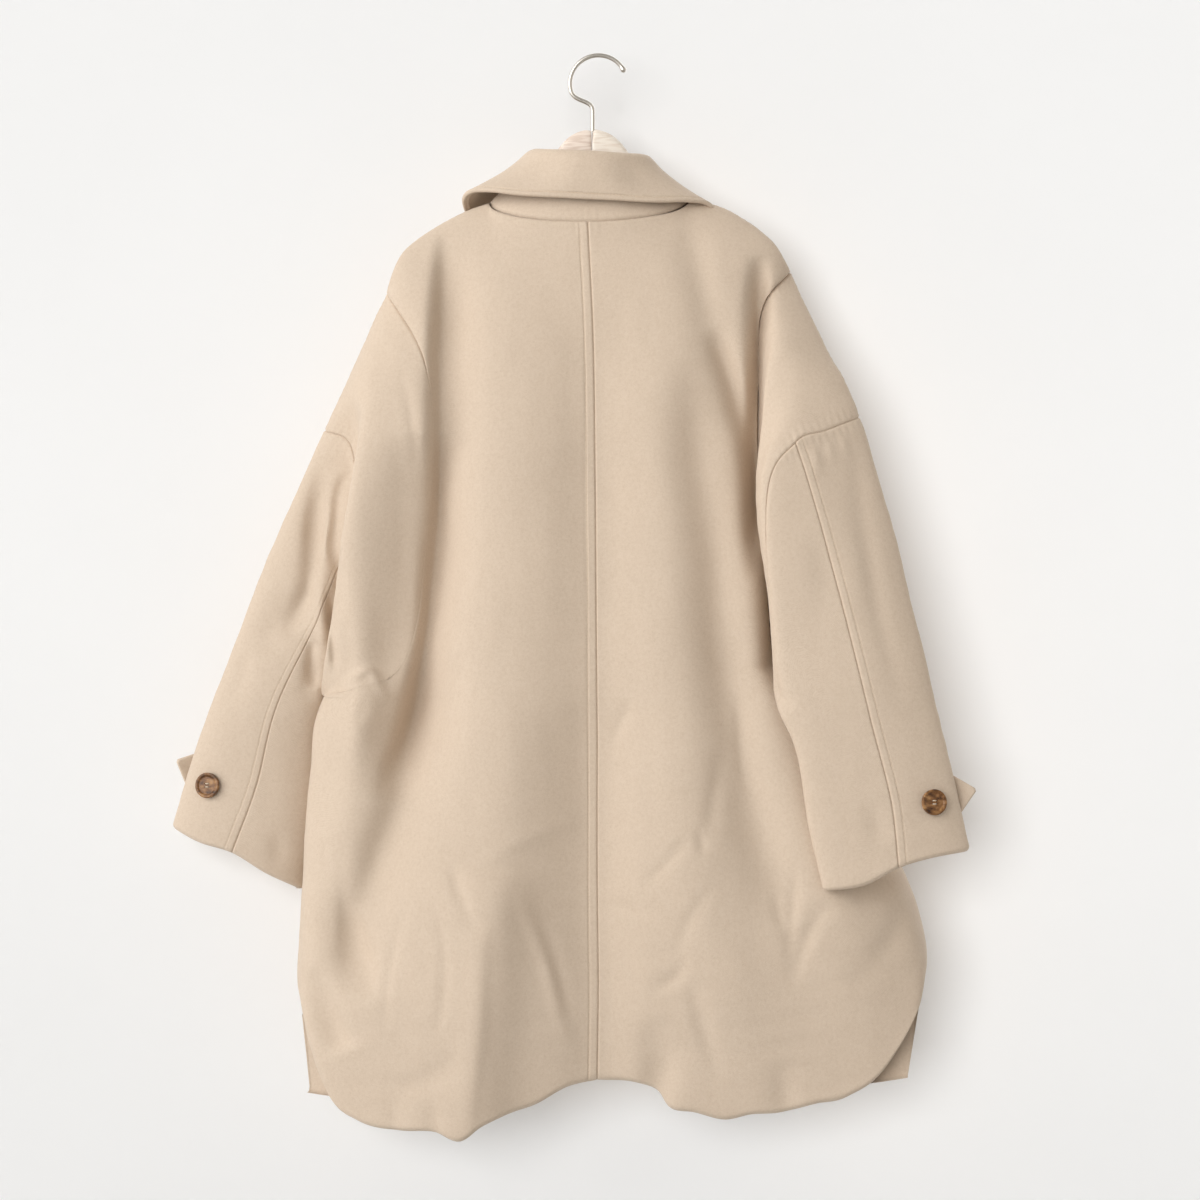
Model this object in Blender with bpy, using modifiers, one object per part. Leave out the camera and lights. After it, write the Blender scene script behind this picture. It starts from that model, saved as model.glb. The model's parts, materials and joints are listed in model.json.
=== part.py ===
"""Down coat hanging on a wooden hanger, in metres, +Z up.

The back of the coat faces -Y and its right half lies on +X. The origin is the inside of the
crown of the hook, where the rail goes.
"""
import math

import bpy
import numpy as np
from mathutils import Matrix, Vector

# Cloth and making
CLOTH = 0.002
SEAM = 0.0003
LAP = 0.022
LAP_FULL = 0.055
LAP_FADE = 0.040
LAP_LIFT = 0.0065
COLLAR_STOP = 0.008

# How finely the cloth is divided
ARM_STEPS = 12
LOW_ROWS = 14
VENT_ROWS = 3
NECK_COLS = 4
SIDE_COLS = 9
NECK_SHARE = 0.45
YOKE_ROWS = 6
SLEEVE_ROWS = 14
STAND_ROWS = 3
FALL_ROWS = 5

# Roundness of the body's sections
LOW_ROUND = 2.6
TOP_ROUND = {"left": 6.0, "right": 4.0}
SHOULDER_ROUND = 7.0
EDGE_HOLD = 8.0
ROUND_RISE = 0.35
ROW_EVEN = 0.3
SLEEVE_BOW = 0.6

PIT_Z = -0.610
NECK_Y = -0.002
SIDES = {"left": -1.0, "right": 1.0}

# Centre back: height, sideways, depth
CENTRE_BACK = [
    (-1.020, -0.001, -0.080),
    (-0.962, -0.001, -0.086),
    (-0.884, 0.000, -0.096),
    (-0.775, -0.001, -0.095),
    (-0.654, -0.001, -0.086),
    (-0.515, -0.002, -0.074),
    (-0.385, -0.003, -0.062),
    (-0.263, -0.005, -0.050),
    (-0.160, -0.010, -0.038),
]

# Centre front: height, sideways, depth
CENTRE_FRONT = [
    (-0.972, 0.004, 0.065),
    (-0.850, 0.002, 0.074),
    (-0.650, 0.000, 0.072),
    (-0.450, -0.002, 0.062),
    (-0.300, -0.004, 0.050),
    (-0.195, -0.004, 0.042),
]

# Side seam from the top of the vent to the armpit: share of the way, x, y, z
SIDE_SEAM = {
    "left": [
        (0.000, -0.278, -0.022, -0.904),
        (0.084, -0.284, -0.026, -0.879),
        (0.227, -0.282, -0.028, -0.836),
        (0.408, -0.279, -0.030, -0.782),
        (0.763, -0.272, -0.032, -0.676),
        (0.920, -0.267, -0.028, -0.629),
        (1.000, -0.259, -0.022, -0.607),
    ],
    "right": [
        (0.000, 0.303, 0.008, -0.873),
        (0.094, 0.308, 0.010, -0.845),
        (0.218, 0.304, 0.010, -0.808),
        (0.336, 0.292, 0.008, -0.773),
        (0.513, 0.258, 0.004, -0.720),
        (0.705, 0.214, -0.002, -0.663),
        (0.870, 0.186, -0.006, -0.614),
        (1.000, 0.165, -0.010, -0.575),
    ],
}

# Lower corner of each front at the side vent: x, y, z
FRONT_CORNER = {"left": (-0.271, -0.008, -0.985), "right": (0.296, 0.016, -0.974)}

# Back hem from the centre to the top of the vent: share of the way, x, z
BACK_HEM = {
    "left": [
        (0.00, -0.001, -0.962),
        (0.10, -0.028, -0.968),
        (0.21, -0.058, -0.984),
        (0.30, -0.082, -0.992),
        (0.39, -0.108, -1.003),
        (0.47, -0.129, -1.016),
        (0.55, -0.152, -1.008),
        (0.67, -0.186, -1.008),
        (0.80, -0.225, -1.001),
        (0.88, -0.250, -0.979),
        (0.95, -0.269, -0.939),
        (1.00, -0.278, -0.904),
    ],
    "right": [
        (0.00, -0.001, -0.962),
        (0.12, 0.036, -0.964),
        (0.18, 0.053, -0.971),
        (0.24, 0.064, -0.986),
        (0.33, 0.089, -0.991),
        (0.42, 0.116, -0.998),
        (0.52, 0.143, -0.993),
        (0.60, 0.167, -0.992),
        (0.72, 0.201, -0.983),
        (0.82, 0.231, -0.976),
        (0.92, 0.270, -0.944),
        (0.97, 0.295, -0.900),
        (1.00, 0.303, -0.873),
    ],
}

# Drop of the front hem below its straight line, at the middle of each half
FRONT_HEM_DROP = 0.012

# Neck point at the shoulder, and the shoulder line out to the armhole: share, x, z
SHOULDER = {
    "left": [
        (0.00, -0.104, -0.138),
        (0.20, -0.124, -0.144),
        (0.45, -0.151, -0.157),
        (0.68, -0.174, -0.174),
        (0.84, -0.188, -0.190),
        (1.00, -0.200, -0.224),
    ],
    "right": [
        (0.00, 0.087, -0.132),
        (0.30, 0.118, -0.141),
        (0.50, 0.134, -0.150),
        (0.70, 0.153, -0.164),
        (0.85, 0.168, -0.179),
        (1.00, 0.183, -0.204),
    ],
}

# Rings of each sleeve from the armhole (0) by the sleeve seam (1) to the cuff (2).
# along, then x z of five places down the back from the outer edge to the under edge,
# then depth at the outer edge, depth at the under edge, bow of the back, bow of the front,
# how far the front follows the line of the back, and the front's shift to the side
SLEEVE = {
    "left": [
        (0.00, -0.200, -0.224, -0.160, -0.303, -0.158, -0.421, -0.182, -0.573, -0.259, -0.607,
         0.000, -0.022, 0.027, 0.056, 1.0, 0.000),
        (0.35, -0.215, -0.254, -0.185, -0.320, -0.180, -0.424, -0.193, -0.540, -0.2625, -0.6065,
         0.000, -0.014, 0.062, 0.058, 0.7, -0.004),
        (0.70, -0.236, -0.299, -0.222, -0.336, -0.231, -0.404, -0.244, -0.500, -0.266, -0.606,
         0.002, -0.006, 0.054, 0.052, 0.35, -0.010),
        (1.00, -0.261, -0.354, -0.234, -0.371, -0.231, -0.440, -0.247, -0.525, -0.270, -0.606,
         0.005, -0.001, 0.022, 0.042, 0.1, -0.010),
        (1.30, -0.308, -0.460, -0.282, -0.480, -0.264, -0.530, -0.272, -0.590, -0.277, -0.650,
         0.010, 0.010, 0.024, 0.034, 0.0, -0.006),
        (1.62, -0.359, -0.587, -0.332, -0.605, -0.308, -0.627, -0.290, -0.664, -0.276, -0.712,
         0.012, 0.018, 0.028, 0.030, 0.0, 0.000),
        (1.81, -0.384, -0.660, -0.357, -0.676, -0.324, -0.693, -0.297, -0.722, -0.277, -0.750,
         0.013, 0.022, 0.029, 0.029, 0.0, 0.000),
        (2.00, -0.408, -0.732, -0.380, -0.745, -0.347, -0.755, -0.314, -0.775, -0.280, -0.791,
         0.014, 0.026, 0.030, 0.028, 0.0, 0.000),
    ],
    "right": [
        (0.00, 0.183, -0.204, 0.155, -0.241, 0.151, -0.310, 0.152, -0.430, 0.165, -0.575,
         0.000, -0.010, 0.036, 0.043, 1.0, 0.000),
        (0.25, 0.197, -0.238, 0.163, -0.262, 0.154, -0.335, 0.159, -0.440, 0.181, -0.580,
         -0.003, -0.022, 0.038, 0.034, 0.9, 0.034),
        (0.55, 0.214, -0.277, 0.170, -0.287, 0.150, -0.366, 0.150, -0.450, 0.173, -0.586,
         -0.006, -0.056, 0.033, 0.020, 0.5, 0.056),
        (1.00, 0.244, -0.345, 0.212, -0.358, 0.182, -0.370, 0.155, -0.423, 0.162, -0.597,
         -0.014, -0.084, 0.030, 0.020, 0.15, 0.036),
        (1.30, 0.279, -0.466, 0.248, -0.474, 0.217, -0.490, 0.176, -0.529, 0.170, -0.616,
         -0.022, -0.090, 0.032, 0.024, 0.0, 0.018),
        (1.63, 0.310, -0.600, 0.280, -0.611, 0.250, -0.624, 0.213, -0.646, 0.184, -0.662,
         -0.030, -0.094, 0.034, 0.024, 0.0, 0.004),
        (1.84, 0.330, -0.686, 0.300, -0.694, 0.270, -0.705, 0.229, -0.721, 0.194, -0.724,
         -0.034, -0.096, 0.033, 0.022, 0.0, 0.000),
        (2.00, 0.343, -0.747, 0.307, -0.753, 0.276, -0.762, 0.244, -0.778, 0.207, -0.784,
         -0.038, -0.098, 0.032, 0.020, 0.0, 0.000),
    ],
}
PLACES = (0.0, 0.25, 0.5, 0.75, 1.0)

# Folds of the back: width, rise towards the viewer, then the places (x, z) the fold runs through
BACK_FOLDS = [
    (0.030, -0.024,
     [(-0.142, -0.265), (-0.147, -0.423), (-0.165, -0.552), (-0.193, -0.645), (-0.235, -0.775)]),
    (0.050, 0.008,
     [(-0.073, -0.130), (-0.068, -0.330), (-0.068, -0.441), (-0.073, -0.534), (-0.087, -0.645),
      (-0.096, -0.757), (-0.099, -0.850)]),
    (0.026, 0.013,
     [(-0.095, -0.755), (-0.101, -0.826), (-0.110, -0.878), (-0.119, -0.943), (-0.126, -1.100)]),
    (0.030, -0.007,
     [(-0.004, -0.237), (-0.004, -0.376), (-0.003, -0.534), (-0.002, -0.683), (-0.001, -0.794),
      (0.001, -1.100)]),
    (0.034, -0.010, [(-0.008, -0.608), (-0.010, -0.757), (-0.014, -0.868), (-0.018, -1.100)]),
    (0.044, 0.010,
     [(0.068, -0.130), (0.070, -0.330), (0.074, -0.441), (0.076, -0.534), (0.087, -0.645),
      (0.102, -0.757), (0.127, -0.850), (0.160, -1.000)]),
    (0.020, -0.010,
     [(0.102, -0.311), (0.113, -0.423), (0.127, -0.515), (0.139, -0.590), (0.157, -0.655),
      (0.178, -0.729)]),
    (0.018, -0.016, [(0.097, -0.200), (0.126, -0.349), (0.142, -0.441), (0.157, -0.552)]),
    (0.026, 0.012, [(-0.210, -0.636), (-0.244, -0.756), (-0.260, -0.849)]),
    (0.022, -0.014, [(-0.230, -0.793), (-0.235, -0.872), (-0.228, -0.923)]),
    (0.016, -0.008, [(0.184, -0.728), (0.185, -0.793), (0.180, -0.839)]),
    (0.018, -0.010, [(0.050, -0.886), (0.048, -1.030)]),
]
FRONT_FOLDS = [
    (0.034, -0.016, [(-0.120, -0.320), (-0.130, -0.520), (-0.160, -0.760)]),
    (0.040, 0.012, [(-0.080, -0.420), (-0.090, -0.700), (-0.110, -1.060)]),
    (0.034, -0.016, [(0.110, -0.300), (0.120, -0.520), (0.150, -0.760)]),
    (0.040, 0.012, [(0.085, -0.420), (0.100, -0.700), (0.130, -1.060)]),
    (0.030, -0.014, [(0.190, -0.740), (0.185, -1.040)]),
]
FOLD_FADE = 0.18

# Collar, half of it: place from the centre back (0) by the shoulder (1) to the front end (2),
# then fold line x y z and outer edge x y z, measured from the collar's middle
COLLAR = [
    (0.00, 0.000, -0.030, -0.092, 0.000, -0.064, -0.140),
    (0.50, 0.032, -0.021, -0.090, 0.064, -0.058, -0.138),
    (1.00, 0.046, 0.000, -0.087, 0.113, -0.027, -0.132),
    (1.35, 0.047, 0.028, -0.104, 0.118, 0.014, -0.129),
    (1.70, 0.036, 0.050, -0.134, 0.106, 0.056, -0.164),
    (2.00, 0.012, 0.062, -0.166, 0.064, 0.082, -0.226),
]
COLLAR_MIDDLE = -0.006
COLLAR_TILT = -0.02
FALL_BOW = 0.006
FALL_ROLL = 0.002
STAND_BOW = 0.004
STAND_FOOT = 0.001

# Cuff tab: place along the sleeve, width, reach past the sleeve's edge, length of the point
TAB_ALONG = {"left": 1.855, "right": 1.865}
TAB_WIDTH = 0.036
TAB_CLOTH = 0.0025
TAB_REACH = 0.018
TAB_POINT = 0.017
TAB_TIP = 0.003
TAB_SHARES = (0.50, 0.42, 0.34, 0.26, 0.19, 0.13)

# Sleeve button: place along the sleeve and share of the way round the back
BUTTON_PLACE = {"left": (1.860, 0.20), "right": (1.865, 0.20)}
BUTTON_STAND = 0.0022
BUTTON_STEPS = 24
# Turned outline of the button: radius, height
BUTTON_PROFILE = [
    (0.0000, 0.0000),
    (0.0090, 0.0000),
    (0.0112, 0.0010),
    (0.0120, 0.0024),
    (0.0112, 0.0037),
    (0.0098, 0.0040),
    (0.0078, 0.0030),
    (0.0000, 0.0027),
]

# Wooden hanger: distance from its middle, top, height, thickness
HANGER_MIDDLE = -0.0062
HANGER = [
    (0.000, -0.0670, 0.050, 0.0140),
    (0.010, -0.0684, 0.050, 0.0140),
    (0.020, -0.0730, 0.048, 0.0140),
    (0.028, -0.0800, 0.045, 0.0140),
    (0.036, -0.0920, 0.040, 0.0140),
    (0.050, -0.1080, 0.036, 0.0140),
    (0.070, -0.1290, 0.033, 0.0140),
    (0.095, -0.1520, 0.030, 0.0140),
    (0.125, -0.1660, 0.028, 0.0150),
    (0.150, -0.1810, 0.026, 0.0150),
    (0.162, -0.1920, 0.022, 0.0130),
    (0.167, -0.1990, 0.012, 0.0070),
]
HANGER_SIDES = 12
HANGER_SQUARE = 0.75

# Wire hook
HOOK_WIRE = 0.0042
HOOK_RADIUS = 0.0250
HOOK_STEM_X = -0.0056
HOOK_TIP_ANGLE = 24.0
HOOK_LEAVE_ANGLE = 214.0
HOOK_STEPS = 24
HOOK_FOOT_Z = -0.0664
HOOK_NECK_Z = -0.0520
HOOK_BALL = 1.35
HOOK_PULL = 0.010

# Colours (linear) and roughness
PAINT = {
    "cloth": ((0.66, 0.53, 0.40, 1.0), 0.9, 0.0),
    "horn": ((0.16, 0.07, 0.03, 1.0), 0.25, 0.0),
    "wood_left": ((0.76, 0.66, 0.57, 1.0), 0.5, 0.0),
    "wood_right": ((0.80, 0.73, 0.64, 1.0), 0.5, 0.0),
    "wire": ((0.72, 0.68, 0.62, 1.0), 0.3, 1.0),
}


def spline(keys, rows, at):
    """Smooth curve through table rows, one row to a key."""
    keys = np.asarray(keys, float)
    rows = np.asarray(rows, float)
    at = np.asarray(at, float)
    slope = np.gradient(rows, keys, axis=0)
    i = np.clip(np.searchsorted(keys, at, side="right") - 1, 0, len(keys) - 2)
    step = keys[i + 1] - keys[i]
    t = np.clip((at - keys[i]) / step, 0.0, 1.0)
    shape = (len(at),) + (1,) * (rows.ndim - 1)
    t = t.reshape(shape)
    step = step.reshape(shape)
    start = (1 + 2 * t) * (1 - t) ** 2 * rows[i]
    end = t ** 2 * (3 - 2 * t) * rows[i + 1]
    leave = t * (1 - t) ** 2 * step * slope[i]
    arrive = t ** 2 * (t - 1) * step * slope[i + 1]
    return start + end + leave + arrive


def table(rows, at):
    """Smooth curve through a table whose first column is the key."""
    rows = np.asarray(rows, float)
    return spline(rows[:, 0], rows[:, 1:], at)


def arm_shares():
    """Shares of the way round half a sleeve ring, closer together at both ends."""
    return (1 - np.cos(np.pi * np.arange(ARM_STEPS + 1) / ARM_STEPS)) / 2


def sleeve_points(side, along, shares, face):
    """Points of a sleeve: a row for each place along it, a column for each share round it."""
    along = np.atleast_1d(along)
    shares = np.atleast_1d(shares)
    cells = table(SLEEVE[side], along)
    places = cells[:, :10].reshape(len(along), 5, 2)
    curve = spline(PLACES, places.transpose(1, 0, 2), shares).transpose(1, 0, 2)
    y_outer, y_under, back, front, follow, shift = cells[:, 10:].T[:, :, None]
    bow = np.sin(np.pi * np.clip(shares, 0, 1)) ** SLEEVE_BOW
    level = y_outer + (y_under - y_outer) * shares
    if face == "back":
        flat = curve
        depth = level - back * bow
    else:
        chord = places[:, :1] + (places[:, 4:] - places[:, :1]) * shares[:, None]
        flat = chord + follow[:, :, None] * (curve - chord)
        flat[..., 0] += shift * bow * shares
        depth = level + front * bow
    return np.stack([flat[..., 0], depth, flat[..., 1]], axis=-1)


def fold_rise(folds, x, z):
    """Rise of the cloth at x, z from every fold in a table."""
    rise = np.zeros_like(x)
    for width, height, places in folds:
        places = np.asarray(places, float)
        along = np.linspace(0, 1, 40)
        path = spline(np.linspace(0, 1, len(places)), places, along)
        gap = np.hypot(x[..., None] - path[:, 0], z[..., None] - path[:, 1])
        nearest = gap.argmin(axis=-1)
        reach = np.minimum(along, 1 - along) / FOLD_FADE
        fade = np.sin(np.clip(reach, 0, 1) * np.pi / 2)[nearest]
        rise += height * fade * np.exp(-(gap.min(axis=-1) / width) ** 2)
    return rise


def columns():
    """Shares across a body half from the centre to the side."""
    neck = NECK_SHARE * np.arange(NECK_COLS + 1) / NECK_COLS
    rest = np.sin(np.pi / 2 * np.arange(1, SIDE_COLS + 1) / SIDE_COLS)
    return np.concatenate([neck, NECK_SHARE + (1 - NECK_SHARE) * rest])


def patch(left, right, low, high, rows, cols):
    """Points (x, z) of a panel from its four edges."""
    u = cols[None, :, None]
    w = rows[:, None, None]
    sides = (1 - u) * left[:, None] + u * right[:, None]
    ends = (1 - w) * low[None] + w * high[None]
    corners = (1 - w) * ((1 - u) * low[0] + u * low[-1]) + w * ((1 - u) * high[0] + u * high[-1])
    return sides + ends - corners


def top_edge(side, face, cols):
    """Neck and shoulder edge of a body half: x, y, z for each column."""
    neck_x, neck_z = SHOULDER[side][0][1:]
    edge = np.zeros((len(cols), 3))
    turn = np.clip(cols / NECK_SHARE, 0, 1)
    if face == "back":
        z_mid, x_mid, y_mid = CENTRE_BACK[-1]
        quarter = turn * np.pi / 2
    else:
        z_mid, x_mid, y_mid = CENTRE_FRONT[-1]
        x_mid = x_mid + SIDES[side] * COLLAR_STOP
        quarter = np.clip((turn * NECK_COLS - 1) / (NECK_COLS - 1), 0, 1) * np.pi / 2
    edge[:, 0] = x_mid + (neck_x - x_mid) * np.sin(quarter)
    edge[:, 1] = NECK_Y + (y_mid - NECK_Y) * np.cos(quarter)
    edge[:, 2] = z_mid + (neck_z - z_mid) * (1 - np.cos(quarter))
    if face == "front":
        lap = np.clip(1 - turn * NECK_COLS, 0, 1)
        edge[:, 0] -= SIDES[side] * (LAP + COLLAR_STOP) * lap
    out = cols > NECK_SHARE
    share = (cols[out] - NECK_SHARE) / (1 - NECK_SHARE)
    line = table(SHOULDER[side], share)
    edge[out, 0] = line[:, 0]
    edge[out, 1] = NECK_Y * (1 - share)
    edge[out, 2] = line[:, 1]
    return edge


def middle_line(side, face, heights):
    """Centre edge of a body half: x and z at each height."""
    line = CENTRE_BACK if face == "back" else CENTRE_FRONT
    found = table(line, heights)
    x = found[:, 0].copy()
    if face == "front":
        x -= SIDES[side] * LAP
    return np.stack([x, heights], axis=-1)


def body_panel(side, face):
    """Points of a body half, rows from the hem up and columns from the centre out."""
    cols = columns()
    line = CENTRE_BACK if face == "back" else CENTRE_FRONT
    out = -1.0 if face == "back" else 1.0
    seam = table(SIDE_SEAM[side], np.linspace(0, 1, LOW_ROWS + 1))
    if face == "back":
        hem = table(BACK_HEM[side], cols)
    else:
        corner = np.asarray(FRONT_CORNER[side])
        share = np.linspace(0, 1, VENT_ROWS + 1)[:-1, None]
        seam = np.concatenate([corner + (seam[0] - corner) * share, seam])
        start = middle_line(side, face, np.array([CENTRE_FRONT[0][0]]))[0]
        hem = start + (corner[[0, 2]] - start) * cols[:, None]
        hem[:, 1] -= FRONT_HEM_DROP * np.sin(np.pi * cols)
    low = (seam[:, 2] - seam[0, 2]) / (seam[-1, 2] - seam[0, 2])
    low = np.linspace(0, 1, len(seam)) * ROW_EVEN + low * (1 - ROW_EVEN)
    pit = middle_line(side, face, np.array([PIT_Z]))[0]
    shelf = pit + (seam[-1][[0, 2]] - pit) * cols[:, None]
    centre = middle_line(side, face, hem[0, 1] + (PIT_Z - hem[0, 1]) * low)
    skirt = patch(centre, seam[:, [0, 2]], hem, shelf, low, cols)
    shares = arm_shares()[::-1]
    armhole = sleeve_points(side, 0.0, shares, face)[0]
    edge = top_edge(side, face, cols)
    rise = 1 - shares
    centre = middle_line(side, face, PIT_Z + (edge[0, 2] - PIT_Z) * rise)
    centre[-1, 0] = edge[0, 0]
    chest = patch(centre, armhole[:, [0, 2]], shelf, edge[:, [0, 2]], rise, cols)
    flat = np.concatenate([skirt, chest[1:]])
    up = np.concatenate([np.zeros(len(skirt)), rise[1:]])
    side_y = np.concatenate([seam[:, 1], armhole[1:, 1]])
    ease = np.clip(up / ROUND_RISE, 0, 1)
    power = LOW_ROUND + (TOP_ROUND[side] - LOW_ROUND) * ease * ease * (3 - 2 * ease)
    across = np.sqrt(np.clip(1 - cols[None] ** power[:, None], 0, 1))
    x = flat[..., 0]
    z = flat[..., 1]
    deep = table(line, z.ravel())[:, 1].reshape(z.shape)
    folds = BACK_FOLDS if face == "back" else FRONT_FOLDS
    hold = (1 - cols[None] ** EDGE_HOLD) * (1 - up[:, None] ** EDGE_HOLD)
    deep = deep + out * fold_rise(folds, x, z) * hold
    y = side_y[:, None] + (deep - side_y[:, None]) * across
    crown = np.sqrt(np.clip(1 - up ** SHOULDER_ROUND, 0, 1))[:, None]
    crown = crown + (1 - crown) * cols[None] ** EDGE_HOLD
    y = edge[None, :, 1] + (y - edge[None, :, 1]) * crown
    y[-1] = edge[:, 1]
    if face == "front" and side == "right":
        over = np.clip((LAP_FULL + LAP_FADE - (x - x[:, :1])) / LAP_FADE, 0, 1)
        y = y + LAP_LIFT * over * over * (3 - 2 * over)
    return np.stack([x, y, z], axis=-1)


def collar_lines(panels):
    """Neck, fold and outer edge lines of the collar from its left end round to its right."""
    base = []
    place = []
    for side in ("left", "right"):
        back = panels["back_" + side][-1, :NECK_COLS + 1]
        front = panels["front_" + side][-1, 1:NECK_COLS + 1][::-1]
        line = np.concatenate([back, front[1:]])
        c = np.concatenate([np.linspace(0, 1, NECK_COLS + 1), np.linspace(1, 2, NECK_COLS)[1:]])
        if side == "left":
            base.append(line[::-1])
            place.append(-c[::-1])
        else:
            base.append(line[1:])
            place.append(c[1:])
    base = np.concatenate(base)
    place = np.concatenate(place)
    cells = table(COLLAR, np.abs(place))
    sign = np.where(place < 0, -1.0, 1.0)
    lines = []
    for first in (0, 3):
        line = cells[:, first:first + 3].copy()
        line[:, 0] = COLLAR_MIDDLE + sign * line[:, 0]
        line[:, 2] += COLLAR_TILT * line[:, 0]
        lines.append(line)
    return base, lines[0], lines[1]


def unit(ways):
    return ways / np.linalg.norm(ways, axis=-1, keepdims=True)


def outward(fold, edge):
    """Level direction from the fold line to the collar's edge."""
    way = edge - fold
    way[:, 2] = 0
    return unit(way)


def stand_panel(lines):
    """Stand of the collar, rows from the neck seam up to the fold line."""
    base, fold, edge = lines
    way = outward(fold, edge)
    rise = unit(fold - base)
    foot = base + rise * STAND_FOOT
    rows = []
    for share in np.linspace(0, 1, STAND_ROWS + 1):
        rows.append(foot + (fold - foot) * share - way * STAND_BOW * math.sin(math.pi * share))
    return np.stack(rows)


def fall_panel(lines):
    """Fall of the collar, rows from inside the fold line over it and out to the edge."""
    base, fold, edge = lines
    rise = unit(fold - base)
    way = outward(fold, edge)
    clear = unit(np.cross(np.gradient(fold, axis=0), rise))
    clear = clear * np.sign((clear * way).sum(axis=1, keepdims=True))
    top = rise * (CLOTH + 2 * SEAM)
    rows = [fold - clear * CLOTH * 0.9 + top * 0.95, fold + clear * CLOTH * 0.3 + top * 1.1]
    crest = fold + clear * (CLOTH + FALL_ROLL)
    for share in np.linspace(0, 1, FALL_ROWS):
        bulge = FALL_BOW * math.sin(math.pi * share)
        rows.append(crest + (edge - crest) * share + clear * bulge)
    return np.stack(rows)


def tab_panel(side):
    """Pointed tab lying on the front of the sleeve, its tip past the sleeve's outer edge."""
    along = TAB_ALONG[side]
    near = sleeve_points(side, [along - 0.01, along + 0.01], [0.0], "front")[:, 0]
    per_along = np.linalg.norm(near[1] - near[0]) / 0.02
    half = TAB_WIDTH / 2 / per_along
    lanes = along + half * np.array([-1.0, 0.0, 1.0])
    strip = sleeve_points(side, lanes, TAB_SHARES, "front").transpose(1, 0, 2)
    normal = grid_normals(strip)
    if normal[..., 1].mean() < 0:
        normal = -normal
    strip = strip + normal * (TAB_CLOTH + 3 * SEAM)
    outer = sleeve_points(side, lanes, [0.0], "front")[:, 0]
    leave = strip[-1] - strip[-2]
    leave = leave / np.linalg.norm(leave, axis=1, keepdims=True)
    middle = leave[1]
    past = np.linalg.norm((outer[1] - strip[-1, 1])[[0, 2]]) + TAB_REACH
    shoulder_row = strip[-1] + middle * (past - TAB_POINT)
    tip = strip[-1, 1] + middle * past
    edge_way = shoulder_row[2] - shoulder_row[0]
    edge_way = edge_way / np.linalg.norm(edge_way)
    tip_row = tip + edge_way * TAB_TIP / 2 * np.array([-1.0, 0.0, 1.0])[:, None]
    return np.concatenate([strip, shoulder_row[None], tip_row[None]])


def grid_normals(grid):
    """Normals at the points of one panel."""
    total = np.zeros_like(grid)
    face = np.cross(grid[1:, 1:] - grid[:-1, :-1], grid[1:, :-1] - grid[:-1, 1:])
    for rows in (slice(0, -1), slice(1, None)):
        for cols in (slice(0, -1), slice(1, None)):
            total[rows, cols] += face
    return total / np.maximum(np.linalg.norm(total, axis=-1, keepdims=True), 1e-12)


def face_outward(grid, hint):
    """Panel with its columns in the order that turns its outside to the hint."""
    if (grid_normals(grid) @ np.asarray(hint)).mean() < 0:
        return grid[:, ::-1]
    return grid


def place_key(point):
    return tuple(np.round(np.asarray(point) * 1e5).astype(int))


def shared_normals(panels):
    """Normals of every panel, made one at the points where panels meet."""
    normals = {}
    meeting = {}
    for name, grid in panels.items():
        normals[name] = grid_normals(grid)
        for point, normal in zip(grid.reshape(-1, 3), normals[name].reshape(-1, 3)):
            key = place_key(point)
            meeting[key] = meeting.get(key, np.zeros(3)) + normal
    for name, grid in panels.items():
        flat = [meeting[place_key(point)] for point in grid.reshape(-1, 3)]
        flat = np.array(flat)
        flat /= np.maximum(np.linalg.norm(flat, axis=1, keepdims=True), 1e-12)
        normals[name] = flat.reshape(grid.shape)
    return normals


def drawn_in(grid):
    """Panel with its four edges drawn in, so that neighbours stay a seam's gap apart."""
    grid = grid.copy()
    pairs = [
        ((0, slice(None)), (1, slice(None))),
        ((-1, slice(None)), (-2, slice(None))),
        ((slice(None), 0), (slice(None), 1)),
        ((slice(None), -1), (slice(None), -2)),
    ]
    for edge, beside in pairs:
        run = unit(np.gradient(grid[edge], axis=0))
        way = grid[beside] - grid[edge]
        way = unit(way - run * (way * run).sum(axis=1, keepdims=True))
        grid[edge] = grid[edge] + way * SEAM * 0.9
    return grid


def wall_mesh(name, grid, normals, thickness):
    """Closed wall: the panel, the same panel moved in, and a rim between them."""
    inner = drawn_in(grid - normals * thickness)
    outer = drawn_in(grid)
    rows, cols = grid.shape[:2]
    count = rows * cols
    points = np.concatenate([outer.reshape(-1, 3), inner.reshape(-1, 3)])
    number = np.arange(count).reshape(rows, cols)
    faces = []
    for r in range(rows - 1):
        for c in range(cols - 1):
            a, b, d, e = number[r, c], number[r, c + 1], number[r + 1, c + 1], number[r + 1, c]
            faces.append((a, b, d, e))
            faces.append((a + count, e + count, d + count, b + count))
    rim = list(number[0, :]) + list(number[1:, -1])
    rim += list(number[-1, -2::-1]) + list(number[-2:0:-1, 0])
    keys = [place_key(point) for point in grid.reshape(-1, 3)]
    for a, b in zip(rim, rim[1:] + rim[:1]):
        if keys[a] < keys[b]:
            faces += [(b, a, b + count), (a, a + count, b + count)]
        else:
            faces += [(b, a, a + count), (b, a + count, b + count)]
    mesh = bpy.data.meshes.new(name)
    mesh.from_pydata([tuple(p) for p in points], [], [tuple(int(i) for i in f) for f in faces])
    mesh.update()
    return mesh


def paint(kind):
    """New material of one kind of stuff."""
    colour, roughness, metallic = PAINT[kind]
    material = bpy.data.materials.new(kind)
    material.use_nodes = True
    shader = material.node_tree.nodes["Principled BSDF"]
    shader.inputs["Base Color"].default_value = colour
    shader.inputs["Roughness"].default_value = roughness
    shader.inputs["Metallic"].default_value = metallic
    return material


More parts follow.
